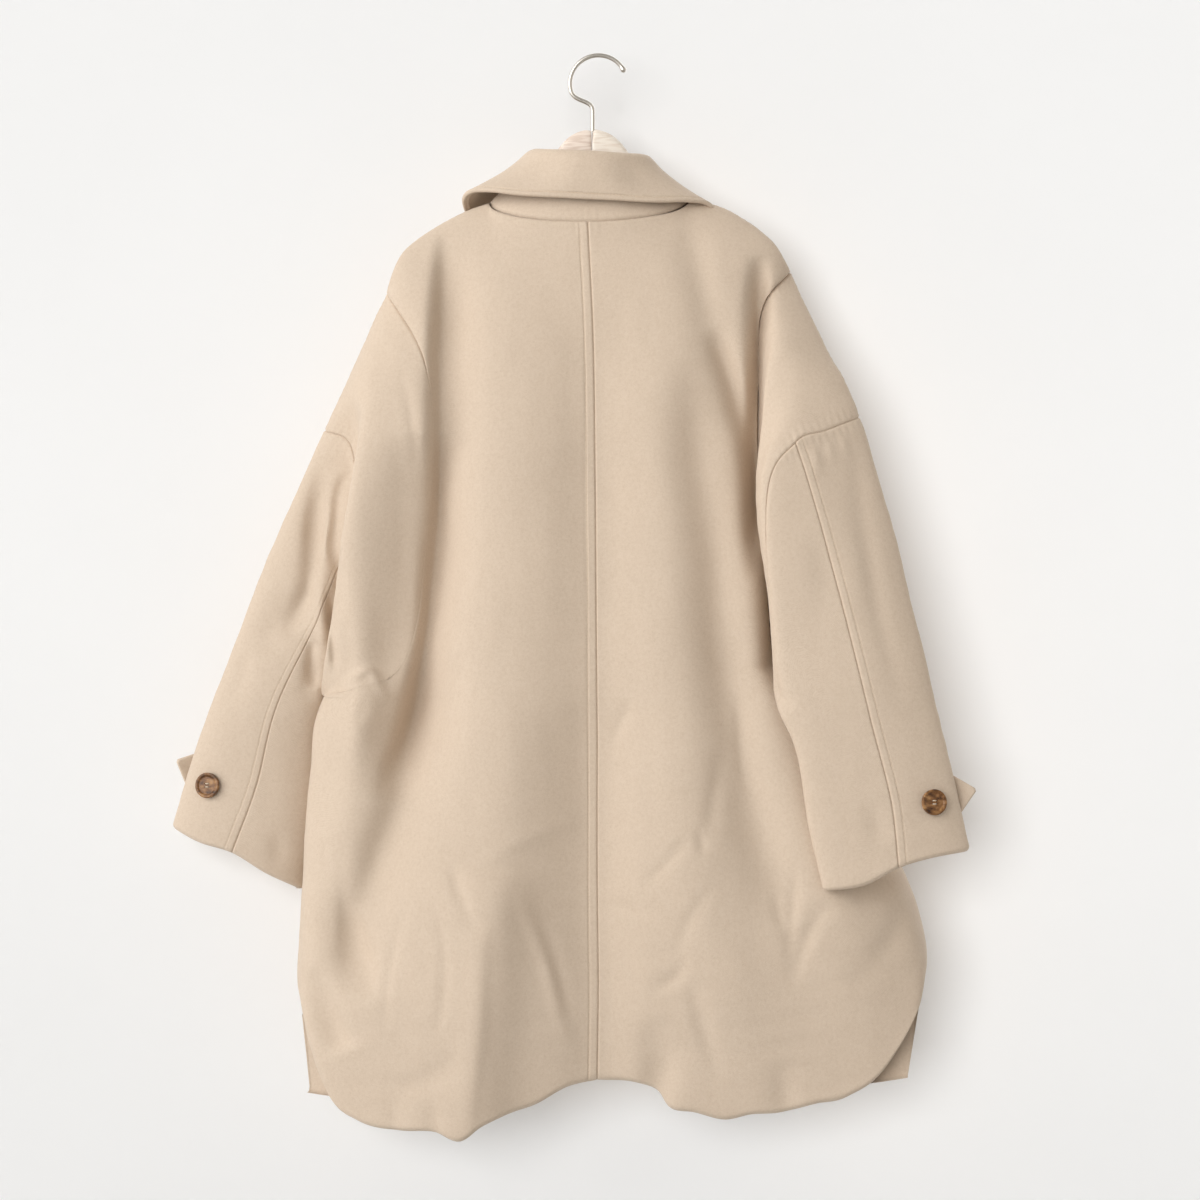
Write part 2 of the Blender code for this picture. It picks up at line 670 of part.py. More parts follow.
def add_object(name, data, kind, group):
    item = bpy.data.objects.new(name, data)
    data.materials.append(paint(kind))
    group.objects.link(item)
    return item


def sleeve_panels(side):
    """Panels of one sleeve: two drop-shoulder halves, the top sleeve and the under sleeve."""
    shares = arm_shares()
    out = SIDES[side]
    yoke = np.linspace(0, 1, YOKE_ROWS + 1)
    arm = np.linspace(1, 2, SLEEVE_ROWS + 1)
    half = ARM_STEPS // 2
    back = sleeve_points(side, arm, shares, "back")
    front = sleeve_points(side, arm, shares, "front")
    top = np.concatenate([back[:, half::-1], front[:, 1:half + 1]], axis=1)
    under = np.concatenate([back[:, half:], front[:, -2:half - 1:-1]], axis=1)
    yoke_back = sleeve_points(side, yoke, shares, "back")
    yoke_front = sleeve_points(side, yoke, shares, "front")
    return {
        "drop_shoulder_back_" + side: face_outward(yoke_back, (0, -1, 0)),
        "drop_shoulder_front_" + side: face_outward(yoke_front, (out, 1, 0)),
        "top_sleeve_" + side: face_outward(top, (out, 0, 0)),
        "under_sleeve_" + side: face_outward(under, (-out, 0, -0.5)),
    }


def make_cloth(group):
    """Every sewn panel of the coat as a thin closed wall."""
    panels = {}
    for side in SIDES:
        panels["back_" + side] = body_panel(side, "back")
        panels["front_" + side] = body_panel(side, "front")
    lines = collar_lines(panels)
    for side in SIDES:
        panels["back_" + side] = face_outward(panels["back_" + side], (0, -1, 0))
        panels["front_" + side] = face_outward(panels["front_" + side], (0, 1, 0))
        panels.update(sleeve_panels(side))
    stand = stand_panel(lines)
    back_middle = stand.shape[1] // 2
    if grid_normals(stand)[:, back_middle, 1].mean() > 0:
        stand = stand[:, ::-1]
    panels["collar_stand"] = stand
    normals = shared_normals(panels)
    for name, grid in panels.items():
        add_object(name, wall_mesh(name, grid, normals[name], CLOTH), "cloth", group)
    fall = fall_panel(lines)
    if grid_normals(fall)[:, back_middle, 2].mean() < 0:
        fall = fall[:, ::-1]
    add_object("collar_fall", wall_mesh("collar_fall", fall, grid_normals(fall), CLOTH), "cloth", group)


def make_tab(side, group):
    strip = face_outward(tab_panel(side), (0, 1, 0))
    name = "cuff_tab_" + side
    add_object(name, wall_mesh(name, strip, grid_normals(strip), TAB_CLOTH), "cloth", group)


def make_button(side, group):
    """Turned horn button standing on the back of the sleeve."""
    along, share = BUTTON_PLACE[side]
    spread = sleeve_points(side, [along - 0.02, along + 0.02], [share - 0.03, share + 0.03], "back")
    centre = spread.reshape(-1, 3).mean(axis=0)
    normal = Vector(np.cross(spread[1, 1] - spread[0, 0], spread[0, 1] - spread[1, 0])).normalized()
    if normal.y > 0:
        normal.negate()
    name = "button_" + side
    mesh = bpy.data.meshes.new(name)
    points = [(radius, 0.0, height) for radius, height in BUTTON_PROFILE]
    mesh.from_pydata(points, [(i, i + 1) for i in range(len(points) - 1)], [])
    button = add_object(name, mesh, "horn", group)
    turn = button.modifiers.new("turn", "SCREW")
    turn.steps = BUTTON_STEPS
    turn.render_steps = BUTTON_STEPS
    turn.use_merge_vertices = True
    turn.merge_threshold = 0.00001
    turn.use_normal_calculate = True
    stand_off = normal * BUTTON_STAND
    pose = normal.to_track_quat("Z", "Y").to_matrix().to_4x4()
    button.matrix_world = Matrix.Translation(Vector(centre) + stand_off) @ pose


def make_hanger(side, group):
    """Half of the hanger, lofted through its sections from the middle joint to the end."""
    out = SIDES[side]
    rings = []
    for distance, top, height, thick in HANGER:
        x = HANGER_MIDDLE + out * max(distance, SEAM * 0.6)
        ring = []
        for i in range(HANGER_SIDES):
            turn = 2 * math.pi * i / HANGER_SIDES
            c, s = math.cos(turn), math.sin(turn)
            y = thick / 2 * math.copysign(abs(c) ** HANGER_SQUARE, c)
            z = top - height / 2 + height / 2 * math.copysign(abs(s) ** HANGER_SQUARE, s)
            ring.append((x, y, z))
        rings.append(ring)
    points = [point for ring in rings for point in ring]
    faces = []
    for r in range(len(rings) - 1):
        for i in range(HANGER_SIDES):
            a = r * HANGER_SIDES + i
            b = r * HANGER_SIDES + (i + 1) % HANGER_SIDES
            faces.append((a, b, b + HANGER_SIDES, a + HANGER_SIDES))
    faces.append(tuple(range(HANGER_SIDES))[::-1])
    last = (len(rings) - 1) * HANGER_SIDES
    faces.append(tuple(range(last, last + HANGER_SIDES)))
    if out < 0:
        faces = [face[::-1] for face in faces]
    name = "hanger_" + side
    mesh = bpy.data.meshes.new(name)
    mesh.from_pydata(points, [], faces)
    add_object(name, mesh, "wood_" + side, group)


def make_hook(group):
    """Wire hook: ball tip, crown over the rail, then down to the stem in the wood."""
    reach = HOOK_RADIUS + HOOK_WIRE / 2
    centre_z = -HOOK_RADIUS
    angles = np.radians(np.linspace(HOOK_TIP_ANGLE, HOOK_LEAVE_ANGLE, HOOK_STEPS + 1))
    places = [(reach * math.cos(a), centre_z + reach * math.sin(a)) for a in angles]
    leave = Vector((places[-1][0], places[-1][1]))
    way = Vector((-math.sin(angles[-1]), math.cos(angles[-1])))
    neck = Vector((HOOK_STEM_X, HOOK_NECK_Z))
    for t in np.linspace(0, 1, 7)[1:]:
        a = leave
        b = leave + way * HOOK_PULL
        c = neck + Vector((0.0, HOOK_PULL))
        spot = a * (1 - t) ** 3 + b * 3 * t * (1 - t) ** 2 + c * 3 * t * t * (1 - t) + neck * t ** 3
        places.append((spot.x, spot.y))
    places.append((HOOK_STEM_X, HOOK_FOOT_Z))
    curve = bpy.data.curves.new("hanger_hook", "CURVE")
    curve.dimensions = "3D"
    curve.bevel_depth = HOOK_WIRE / 2
    curve.bevel_resolution = 2
    curve.use_fill_caps = True
    wire = curve.splines.new("POLY")
    wire.points.add(len(places) - 1)
    for point, (x, z) in zip(wire.points, places):
        point.co = (x, 0.0, z, 1.0)
    wire.points[0].radius = HOOK_BALL * 0.8
    wire.points[1].radius = HOOK_BALL
    add_object("hanger_hook", curve, "wire", group)


def main():
    for item in list(bpy.data.objects):
        bpy.data.objects.remove(item, do_unlink=True)
    group = bpy.data.collections.new("down_coat")
    bpy.context.scene.collection.children.link(group)
    make_cloth(group)
    for side in SIDES:
        make_tab(side, group)
        make_button(side, group)
        make_hanger(side, group)
    make_hook(group)


main()
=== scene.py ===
import json
import math

import bpy
import numpy as np
from mathutils import Matrix, Vector

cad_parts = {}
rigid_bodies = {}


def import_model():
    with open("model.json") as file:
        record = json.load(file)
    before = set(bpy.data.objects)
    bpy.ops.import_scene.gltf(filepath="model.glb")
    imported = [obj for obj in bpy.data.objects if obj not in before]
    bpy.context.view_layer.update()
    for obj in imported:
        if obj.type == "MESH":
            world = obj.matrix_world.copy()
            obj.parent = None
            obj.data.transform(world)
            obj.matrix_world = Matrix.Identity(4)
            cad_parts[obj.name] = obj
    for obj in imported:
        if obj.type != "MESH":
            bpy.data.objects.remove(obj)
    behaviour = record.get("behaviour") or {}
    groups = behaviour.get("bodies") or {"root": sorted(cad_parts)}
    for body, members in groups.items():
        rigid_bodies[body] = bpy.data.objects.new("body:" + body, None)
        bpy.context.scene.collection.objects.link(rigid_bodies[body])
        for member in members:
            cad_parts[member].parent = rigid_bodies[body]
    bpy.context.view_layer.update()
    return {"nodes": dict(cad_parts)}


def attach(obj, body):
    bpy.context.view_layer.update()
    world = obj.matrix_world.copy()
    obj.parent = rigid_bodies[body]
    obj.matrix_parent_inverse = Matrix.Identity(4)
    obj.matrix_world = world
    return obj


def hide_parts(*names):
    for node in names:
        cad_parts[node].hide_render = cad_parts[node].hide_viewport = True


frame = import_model()
nodes = frame["nodes"]
print("frame loaded,", len(nodes), "solids")

sides = {"left": -1.0, "right": 1.0}
mm = 0.001


def clearPick():
    bpy.ops.object.select_all(action="DESELECT")


def newItem(name, data):
    item = bpy.data.objects.new(name, data)
    bpy.context.scene.collection.objects.link(item)
    return item


clearPick()

# body of the coat, in metres
coatBody = {
    # height, sideways, depth
    "centreBack": [
        (-1.020, -0.001, -0.080), (-0.962, -0.001, -0.086), (-0.884, 0.000, -0.096),
        (-0.775, -0.001, -0.095), (-0.654, -0.001, -0.086), (-0.515, -0.002, -0.074),
        (-0.385, -0.003, -0.062), (-0.263, -0.005, -0.050), (-0.160, -0.010, -0.038),
    ],
    "centreFront": [
        (-0.972, 0.004, 0.065), (-0.850, 0.002, 0.074), (-0.650, 0.000, 0.072),
        (-0.450, -0.002, 0.062), (-0.300, -0.004, 0.050), (-0.195, -0.004, 0.042),
    ],
    # share of the way from the vent up to the armpit, x, y, z
    "sideSeam": {
        "left": [
            (0.000, -0.278, -0.022, -0.904), (0.084, -0.284, -0.026, -0.879), (0.227, -0.282, -0.028, -0.836),
            (0.408, -0.279, -0.030, -0.782), (0.763, -0.272, -0.032, -0.676), (0.920, -0.267, -0.028, -0.629),
            (1.000, -0.259, -0.022, -0.607),
        ],
        "right": [
            (0.000, 0.303, -0.052, -0.873), (0.094, 0.308, -0.030, -0.845), (0.218, 0.304, -0.008, -0.808),
            (0.336, 0.292, 0.006, -0.773), (0.513, 0.258, 0.004, -0.720), (0.705, 0.221, -0.002, -0.663),
            (0.870, 0.194, -0.006, -0.614), (1.000, 0.165, -0.010, -0.575),
        ],
    },
    "frontCorner": {"left": (-0.2690, -0.036, -0.978), "right": (0.2870, -0.068, -0.9600)},
    "cornerDip": {"left": 0.012, "right": 0.0}, "dipFrom": 0.70, "flatFrom": 0.62, "flatFull": 0.88,
    "ventLength": 0.1, "ventHold": (1.6, 0.6), "spreadLow": 0.3, "spreadHigh": 0.05,
    # share of the way from the centre to the vent, x, z
    "backHem": {
        "left": [
            (0.00, -0.001, -0.962), (0.10, -0.028, -0.968), (0.21, -0.058, -0.984), (0.30, -0.082, -0.992),
            (0.39, -0.108, -1.003), (0.47, -0.129, -1.016), (0.55, -0.152, -1.008), (0.67, -0.186, -1.008),
            (0.80, -0.225, -1.001), (0.88, -0.250, -0.984), (0.95, -0.269, -0.939), (1.00, -0.278, -0.904),
        ],
        "right": [
            (0.00, -0.001, -0.962), (0.12, 0.036, -0.964), (0.18, 0.053, -0.971), (0.24, 0.064, -0.986),
            (0.33, 0.089, -0.991), (0.42, 0.116, -0.998), (0.52, 0.143, -0.993), (0.60, 0.167, -0.992),
            (0.72, 0.201, -0.983), (0.82, 0.231, -0.976), (0.92, 0.270, -0.944), (0.97, 0.295, -0.900),
            (1.00, 0.303, -0.873),
        ],
    },
    "frontHemDrop": 0.012,
    # share of the way from the neck to the armhole, x, z
    "shoulder": {
        "left": [
            (0.00, -0.104, -0.138), (0.20, -0.124, -0.144), (0.45, -0.151, -0.157),
            (0.68, -0.174, -0.174), (0.84, -0.188, -0.190), (1.00, -0.200, -0.224),
        ],
        "right": [
            (0.00, 0.087, -0.132), (0.30, 0.118, -0.141), (0.50, 0.134, -0.150),
            (0.70, 0.153, -0.164), (0.85, 0.168, -0.179), (1.00, 0.183, -0.204),
        ],
    },
    "pitZ": -0.610, "neckY": -0.002, "neckShare": 0.45, "neckSteps": 4,
    "topRound": {"left": 6.0, "right": 4.0}, "roundRise": 0.32,
    # height, how square the body is below the armpit
    "lowRound": {
        "left": [(-1.05, 3.6), (-0.60, 3.6)],
        "right": [(-1.05, 20.0), (-0.90, 20.0), (-0.80, 16.0), (-0.72, 17.0), (-0.66, 22.0), (-0.57, 22.0)],
    },
    "shoulderRound": 7.0, "edgeHold": 8.0, "rowEven": 0.3, "ventShare": 3 / 17,
    "lap": 0.022, "lapFull": 0.055, "lapFade": 0.040, "lapLift": 0.0065, "collarStop": 0.008,
    "neckCols": 36, "sideCols": 62, "lowRows": 104, "ventRows": 22, "width": 0.27, "length": 0.33,
    "hemRoll": 0.007, "frontEdgeRoll": 0.003, "neckBlur": 0.11, "hemBlur": 0.05,
}

# rings of each sleeve: along, x z of five places down the back, depth of the outer and the under edge,
# bow of the back, bow of the front, how far the front follows the back, shift of the front
coatSleeve = {
    "left": [
        (0.00, -0.200, -0.224, -0.160, -0.303, -0.158, -0.421, -0.182, -0.573, -0.259, -0.607,
         0.000, -0.022, 0.058, 0.056, 1.0, 0.000),
        (0.35, -0.215, -0.254, -0.185, -0.320, -0.180, -0.424, -0.193, -0.540, -0.2600, -0.6065,
         0.000, -0.014, 0.062, 0.058, 0.7, -0.004),
        (0.70, -0.236, -0.299, -0.222, -0.336, -0.231, -0.404, -0.244, -0.500, -0.261, -0.606,
         0.002, -0.006, 0.054, 0.052, 0.35, -0.010),
        (1.00, -0.261, -0.354, -0.234, -0.371, -0.231, -0.440, -0.247, -0.525, -0.262, -0.606,
         0.005, -0.001, 0.022, 0.042, 0.1, -0.010),
        (1.30, -0.308, -0.460, -0.282, -0.480, -0.264, -0.530, -0.268, -0.590, -0.264, -0.650,
         0.010, 0.006, 0.024, 0.034, 0.0, -0.006),
        (1.62, -0.359, -0.587, -0.332, -0.605, -0.308, -0.627, -0.288, -0.664, -0.266, -0.712,
         0.012, 0.005, 0.024, 0.030, 0.0, 0.000),
        (1.81, -0.384, -0.660, -0.357, -0.676, -0.324, -0.693, -0.296, -0.722, -0.272, -0.750,
         0.013, 0.005, 0.024, 0.029, 0.5, 0.000),
        (2.00, -0.408, -0.732, -0.380, -0.745, -0.347, -0.755, -0.314, -0.775, -0.280, -0.791,
         0.014, 0.006, 0.024, 0.028, 1.0, 0.000),
    ],
    "right": [
        (0.00, 0.183, -0.204, 0.155, -0.241, 0.151, -0.310, 0.152, -0.430, 0.165, -0.575,
         0.000, -0.010, 0.036, 0.043, 1.0, 0.000),
        (0.25, 0.197, -0.238, 0.163, -0.262, 0.154, -0.335, 0.159, -0.440, 0.181, -0.580,
         -0.012, -0.024, 0.036, 0.034, 0.9, 0.034),
        (0.55, 0.214, -0.277, 0.170, -0.287, 0.150, -0.366, 0.150, -0.450, 0.173, -0.586,
         -0.030, -0.056, 0.028, 0.020, 0.5, 0.056),
        (1.00, 0.244, -0.345, 0.212, -0.358, 0.182, -0.370, 0.155, -0.423, 0.162, -0.597,
         -0.054, -0.082, 0.020, 0.018, 0.15, 0.036),
        (1.30, 0.279, -0.466, 0.248, -0.474, 0.217, -0.490, 0.174, -0.529, 0.166, -0.616,
         -0.069, -0.092, 0.017, 0.014, 0.0, 0.018),
        (1.63, 0.310, -0.600, 0.280, -0.611, 0.250, -0.624, 0.213, -0.646, 0.184, -0.662,
         -0.080, -0.096, 0.016, 0.012, 0.0, 0.004),
        (1.84, 0.330, -0.686, 0.300, -0.694, 0.270, -0.705, 0.229, -0.721, 0.194, -0.724,
         -0.084, -0.097, 0.016, 0.011, 0.5, 0.000),
        (2.00, 0.343, -0.747, 0.307, -0.753, 0.276, -0.762, 0.244, -0.778, 0.207, -0.784,
         -0.086, -0.098, 0.016, 0.010, 1.0, 0.000),
    ],
    "places": (0.0, 0.25, 0.5, 0.75, 1.0), "bow": (0.6, 0.42),
    "backSteps": 116, "frontSteps": 64, "yokeRows": 40, "armRows": 104, "cuffRoll": 0.005,
    "pitStart": 0.3, "pitFull": 0.3, "pitEdge": 0.06,
}

# large folds in millimetres: width, rise, lean, then the places (x, z) the fold runs through
backFolds = [
    # two soft swells with the centre back between them
    (50, 8, 0, [(-73, -130), (-68, -330), (-68, -441), (-73, -534), (-87, -645), (-96, -757),
        (-99, -850)]),
    (50, 5, -0.3, [(-86, -600), (-93, -720), (-99, -800), (-110, -900), (-121, -1120)]),
    (54, 14, -0.34, [(-98, -760), (-103, -810), (-111, -868), (-117, -924), (-122, -980), (-124, -1160)]),
    (30, -5, 0, [(-4, -237), (-4, -376), (-3, -534), (-2, -683), (-1, -794), (1, -1100)]),
    (36, -8, 0, [(-8, -608), (-8, -757), (-3, -868), (3, -930), (4, -1120)]),
    (44, 10, 0, [(66, -130), (66, -330), (66, -441), (66, -534), (74, -645), (88, -757), (115, -850),
        (150, -1000)]),
    (22, -10, 0, [(90, -290), (92, -366), (99, -422), (109, -478), (113, -534), (120, -590), (128, -645),
        (140, -701), (158, -757), (182, -815)]),
    # roll and hollow down the left side
    (24, -20, 0.2, [(-158, -560), (-164, -620), (-172, -660), (-186, -710), (-204, -760), (-222, -815),
        (-230, -880)]),
    (22, 12, 0, [(-235, -590), (-226, -645), (-240, -701), (-252, -757), (-262, -813)]),
    (16, -8, 0, [(-274, -858), (-259, -888), (-245, -915), (-236, -936)]),
    (14, -4, 0, [(52, -900), (48, -1040)]),
]
# deep folds along the armholes, over both panels that meet there
armFolds = {
    "Left": [
        (19, -22, 0.5, [(-141, -165), (-144, -237), (-146, -293), (-146, -376), (-147, -441), (-153, -506),
            (-158, -553), (-167, -599), (-179, -645), (-200, -701)]),
        (20, 4, 0, [(-236, -400), (-231, -450), (-228, -500), (-224, -550), (-223, -600), (-232, -680)]),
        (30, -24, -0.35, [(-157, -360), (-157, -410), (-158, -460), (-161, -506), (-166, -553),
            (-174, -600), (-185, -645), (-201, -700)]),
    ],
    "Right": [
        (16, -4.5, 0, [(86, -160), (95, -215), (105, -255), (122, -311), (138, -360)]),
        (10, -9, 0, [(106, -262), (124, -311), (139, -367), (145, -423), (148, -500)]),
        (9, -20, 0, [(152, -190), (150, -255), (150, -311), (149, -367), (147, -423), (148, -470)]),
    ],
}
# folds where the left drop shoulder lies over the sleeve
pitFolds = [
    (4.5, -7.5, 0, [(-254.4, -504.5), (-250, -553), (-245.9, -586)]),
    (9, 6, 0, [(-250.6, -421.9), (-257.7, -445.5), (-264.2, -475.7), (-264.2, -510.7), (-262.3, -529.6),
        (-256.6, -559.8), (-252.5, -591)]),
    (6, -5.5, 0, [(-235.5, -392.7), (-245, -411.6), (-248.8, -437.1), (-250.6, -464.4), (-245, -487.1),
        (-244, -515.4), (-247.8, -543.2)]),
    (10, -9, 0, [(-261, -383.2), (-265.8, -421), (-267.6, -449.3), (-269.5, -477.6), (-274.2, -506),
        (-285.6, -529.6), (-296, -553.2)]),
    (6, -5, 0, [(-270.4, -553.2), (-271.4, -576.8), (-267.6, -600)]),
]
frontFolds = [
    (34, -16, 0, [(-120, -320), (-130, -520), (-160, -760)]),
    (40, 12, 0, [(-80, -420), (-90, -700), (-110, -1060)]),
    (34, -16, 0, [(110, -300), (120, -520), (150, -760)]),
    (40, 12, 0, [(85, -420), (100, -700), (130, -1060)]),
    (30, -14, 0, [(190, -740), (185, -1040)]),
]

# small creases over the large folds, in the same columns
creases = {
    "back": [
        # lower left
        (6, -2.8, 0.2, [(-134, -757), (-133, -769), (-128, -787), (-119, -806), (-106, -826)]),
        (11, 3.2, -0.3, [(-103, -805), (-108, -840), (-111, -908), (-119, -983), (-124, -1035)]),
        (7, 1.2, 0, [(-108, -759), (-82, -741), (-45, -727), (-13, -715)]),
        (6.5, 2.6, 0, [(-72, -784), (-65, -806), (-56, -830), (-48, -852), (-41, -880), (-34, -908),
            (-18, -940)]),
        (6, -2, 0, [(-54, -808), (-41, -845), (-32, -875), (-25, -907)]),
        (4.5, -1.8, 0, [(-178, -792), (-193, -852), (-199, -918)]),
        (4.5, -1.8, 0, [(-153, -784), (-142, -846), (-145, -894), (-152, -918)]),
        (19, -11, -0.3, [(-247, -735), (-240, -794), (-229, -832), (-220, -860), (-212, -890)]),
        (13, -6.5, -0.2, [(-272, -860), (-259, -888), (-245, -915), (-238, -934)]),
        (12, -2.6, 0, [(-207, -976), (-156, -957), (-123, -933)]),
        (9, -2.2, 0, [(-149, -1015), (-155, -972)]),
        (9, -2, 0, [(-186, -1013), (-192, -974)]),
        # lower right
        (6, -1.5, 0, [(11, -653), (22, -625), (31, -606)]),
        (5.5, -1.8, 0, [(37, -781), (62, -759), (87, -729)]),
        (5.5, -1.6, 0, [(4, -798), (29, -801), (59, -811)]),
        (6, -2, 0.1, [(44, -880), (58, -872), (73, -861), (83, -836)]),
        (6.5, -1.5, 0, [(70, -846), (85, -808), (109, -775)]),
        (8, -2.4, 0.2, [(83, -865), (89, -887), (99, -919), (115, -963)]),
        (8, -2.2, 0, [(110, -650), (110, -675), (105, -710), (99, -749)]),
        (5, -1.8, 0, [(91, -723), (98, -753)]),
        (8, -2.2, 0.3, [(129, -600), (131, -623), (135, -673), (147, -710)]),
        (5.5, -2.2, 0, [(184, -749), (178, -813), (174, -852)]),
        (5, -1.8, 0, [(163, -783), (172, -829)]),
        (8, -2.6, 0.2, [(178, -875), (183, -852), (195, -822), (206, -805), (219, -797)]),
        (13, -2.6, 0, [(296, -779), (280, -817), (260, -845), (229, -873)]),
        (14, -4.5, 0, [(217, -774), (250, -783), (286, -768)]),
        (14, -4, 0, [(50, -1000), (60, -955), (70, -915)]),
        (12, -3, 0, [(178, -1010), (172, -975), (168, -940)]),
        # left armpit
        (5, 3.4, 0, [(-240, -596), (-229, -591), (-216, -583), (-207, -593), (-197, -613)]),
        (6, -2.2, 0, [(-217, -600), (-221, -620), (-226, -634)]),
        (12, 3.5, 0.3, [(-229, -501), (-223, -553), (-221, -613), (-227, -664)]),
        (6, -1.8, 0, [(-186, -293), (-175, -344), (-169, -399)]),
    ],
    "sleeveLeft": [
        (13, -4.5, 0, [(-278, -416), (-266, -463), (-261, -501)]),
        (15, -3.6, 0, [(-287, -502), (-307, -539), (-320, -570)]),
        (9, -3, 0, [(-270, -567), (-279, -612)]),
        (10, -1.8, 0, [(-331, -561), (-349, -620)]),
        (8, -1.6, 0, [(-301, -768), (-306, -733)]),
    ],
    "sleeveRight": [
        (7, -4, 0.2, [(151, -578), (163, -602), (179, -618)]),
        (10, -2.2, 0, [(239, -360), (245, -441), (261, -534), (281, -613)]),
        (16, -2.2, 0, [(198, -451), (211, -492), (213, -539)]),
        (10, -1.8, 0, [(250, -701), (263, -745)]),
        # gathers below the sleeve seam
        (4.5, 1.2, 0, [(199, -372), (204, -398)]),
        (4.5, 1, 0, [(213, -366), (217, -390)]),
        (4, 0.9, 0, [(226, -360), (230, -380)]),
    ],
    "front": [
        (10, -3, 0, [(-200, -640), (-180, -700)]),
        (9, -2.6, 0.2, [(170, -620), (150, -690)]),
        (8, -2.2, 0, [(-60, -800), (-50, -880)]),
        (8, -2.2, 0, [(60, -820), (75, -900)]),
    ],
}

collar = {
    # place from the centre back (0) by the shoulder (1) to the front end (2), fold x y z, edge x y z
    "lines": [
        (0.00, 0.000, -0.030, -0.0955, 0.000, -0.0425, -0.140),
        (0.50, 0.033, -0.023, -0.0950, 0.064, -0.0385, -0.138),
        (0.85, 0.051, -0.008, -0.0935, 0.100, -0.0255, -0.134),
        (1.00, 0.054, 0.001, -0.0935, 0.113, -0.0175, -0.134),
        (1.20, 0.055, 0.014, -0.0965, 0.121, -0.006, -0.140),
        (1.40, 0.053, 0.030, -0.1080, 0.120, 0.018, -0.149),
        (1.70, 0.040, 0.050, -0.134, 0.106, 0.056, -0.172),
        (2.00, 0.012, 0.062, -0.166, 0.064, 0.082, -0.226),
    ],
    "middle": -0.009, "tilt": -0.05, "fallBow": (0.003, -0.003), "fallRoll": 0.001,
    "standBow": 0.004, "standFoot": 0.0003, "cloth": 0.002, "standRows": 14, "fallRows": 34,
    "edgeThick": 0.0042, "edgeSwell": 0.030,
}

cloth = {
    "wall": 0.0020, "seamGap": 0.0003,
    "seamDip": 0.0011, "seamWidth": 0.0008, "pucker": 0.00022, "puckerStep": 0.0075, "puckerReach": 0.010,
    "stitchWidth": 0.0007, "welt": 0.0002,
    "puff": 0.0007, "puffSize": 0.15, "crumple": 0.00012, "crumpleSize": 0.026,
    "foldFade": 0.18, "creaseFade": 0.5, "pitFade": 0.3, "foldSteps": 60, "foldReach": 3.2,
    "puckerDrift": 0.031, "puckerClear": 0.002, "weltStart": 0.003, "weltEnd": 0.002, "collarCrumple": 0.5,
    # the seam in the left valley shows above this height only
    "seamShows": -0.315, "seamFade": 0.03, "armEase": 0.012, "hemEase": 0.05,
}


def splineThrough(keys, rows, at):
    keys, rows, at = (np.asarray(v, float) for v in (keys, rows, at))
    slope = np.gradient(rows, keys, axis=0)
    i = np.clip(np.searchsorted(keys, at, side="right") - 1, 0, len(keys) - 2)
    step = keys[i + 1] - keys[i]
    t = np.clip((at - keys[i]) / step, 0.0, 1.0)
    shape = (len(at),) + (1,) * (rows.ndim - 1)
    t, step = t.reshape(shape), step.reshape(shape)
    start = (1 + 2 * t) * (1 - t) ** 2 * rows[i]
    end = t ** 2 * (3 - 2 * t) * rows[i + 1]
    leave = t * (1 - t) ** 2 * step * slope[i]
    arrive = t ** 2 * (t - 1) * step * slope[i + 1]
    return start + end + leave + arrive


def tableAt(rows, at):
    rows = np.asarray(rows, float)
    return splineThrough(rows[:, 0], rows[:, 1:], at)


def smooth(value):
    value = np.clip(value, 0, 1)
    return value * value * (3 - 2 * value)


def unit(ways):
    return ways / np.maximum(np.linalg.norm(ways, axis=-1, keepdims=True), 1e-12)


def foldRise(rows, x, z, fadeShare):
    rise = np.zeros_like(x)
    along = np.linspace(0, 1, cloth["foldSteps"])
    for width, height, lean, places in rows:
        width, height, places = width * mm, height * mm, np.asarray(places, float) * mm
        path = splineThrough(np.linspace(0, 1, len(places)), places, along)
        step = np.gradient(path, axis=0)
        run = unit(step)
        reach = cloth["foldReach"] * width * (1 + abs(lean))
        low, high = path.min(axis=0) - reach, path.max(axis=0) + reach
        inside = (x > low[0]) & (x < high[0]) & (z > low[1]) & (z < high[1])
        if not inside.any():
            continue
        dx = x[inside][:, None] - path[:, 0]
        dz = z[inside][:, None] - path[:, 1]
        near = (dx ** 2 + dz ** 2).argmin(axis=1)
        row = np.arange(len(near))
        dx, dz, way = dx[row, near], dz[row, near], run[near]
        # exact place along the path, so that the fold fades without steps
        past = dx * way[:, 0] + dz * way[:, 1]
        last = len(along) - 1
        place = np.clip(near + past / np.linalg.norm(step, axis=1)[near], 0, last) / last
        hand = way[:, 0] * dz - way[:, 1] * dx
        beyond = np.where((near == 0) & (past < 0) | (near == last) & (past > 0), past, 0)
        wide = width * (1 + lean * np.tanh(hand / width * 2))
        fade = np.sin(np.clip(np.minimum(place, 1 - place) / fadeShare, 0, 1) * np.pi / 2)
        rise[inside] += height * fade * np.exp(-(hand ** 2 + beyond ** 2) / wide ** 2)
    return rise


def softNoise(points, size, seed):
    chance = np.random.default_rng(seed)
    total = np.zeros(points.shape[:-1])
    waves = 22
    for i in range(waves):
        way = unit(chance.normal(size=3)) / size * chance.uniform(0.7, 1.5)
        total += np.sin(points @ way * 2 * np.pi + chance.uniform(0, 2 * np.pi))
    return total / math.sqrt(waves / 2)


# where the cloth is divided
def shareSteps(count):
    even = np.arange(count + 1) / count
    return even * 0.5 + (1 - np.cos(np.pi * even)) / 2 * 0.5


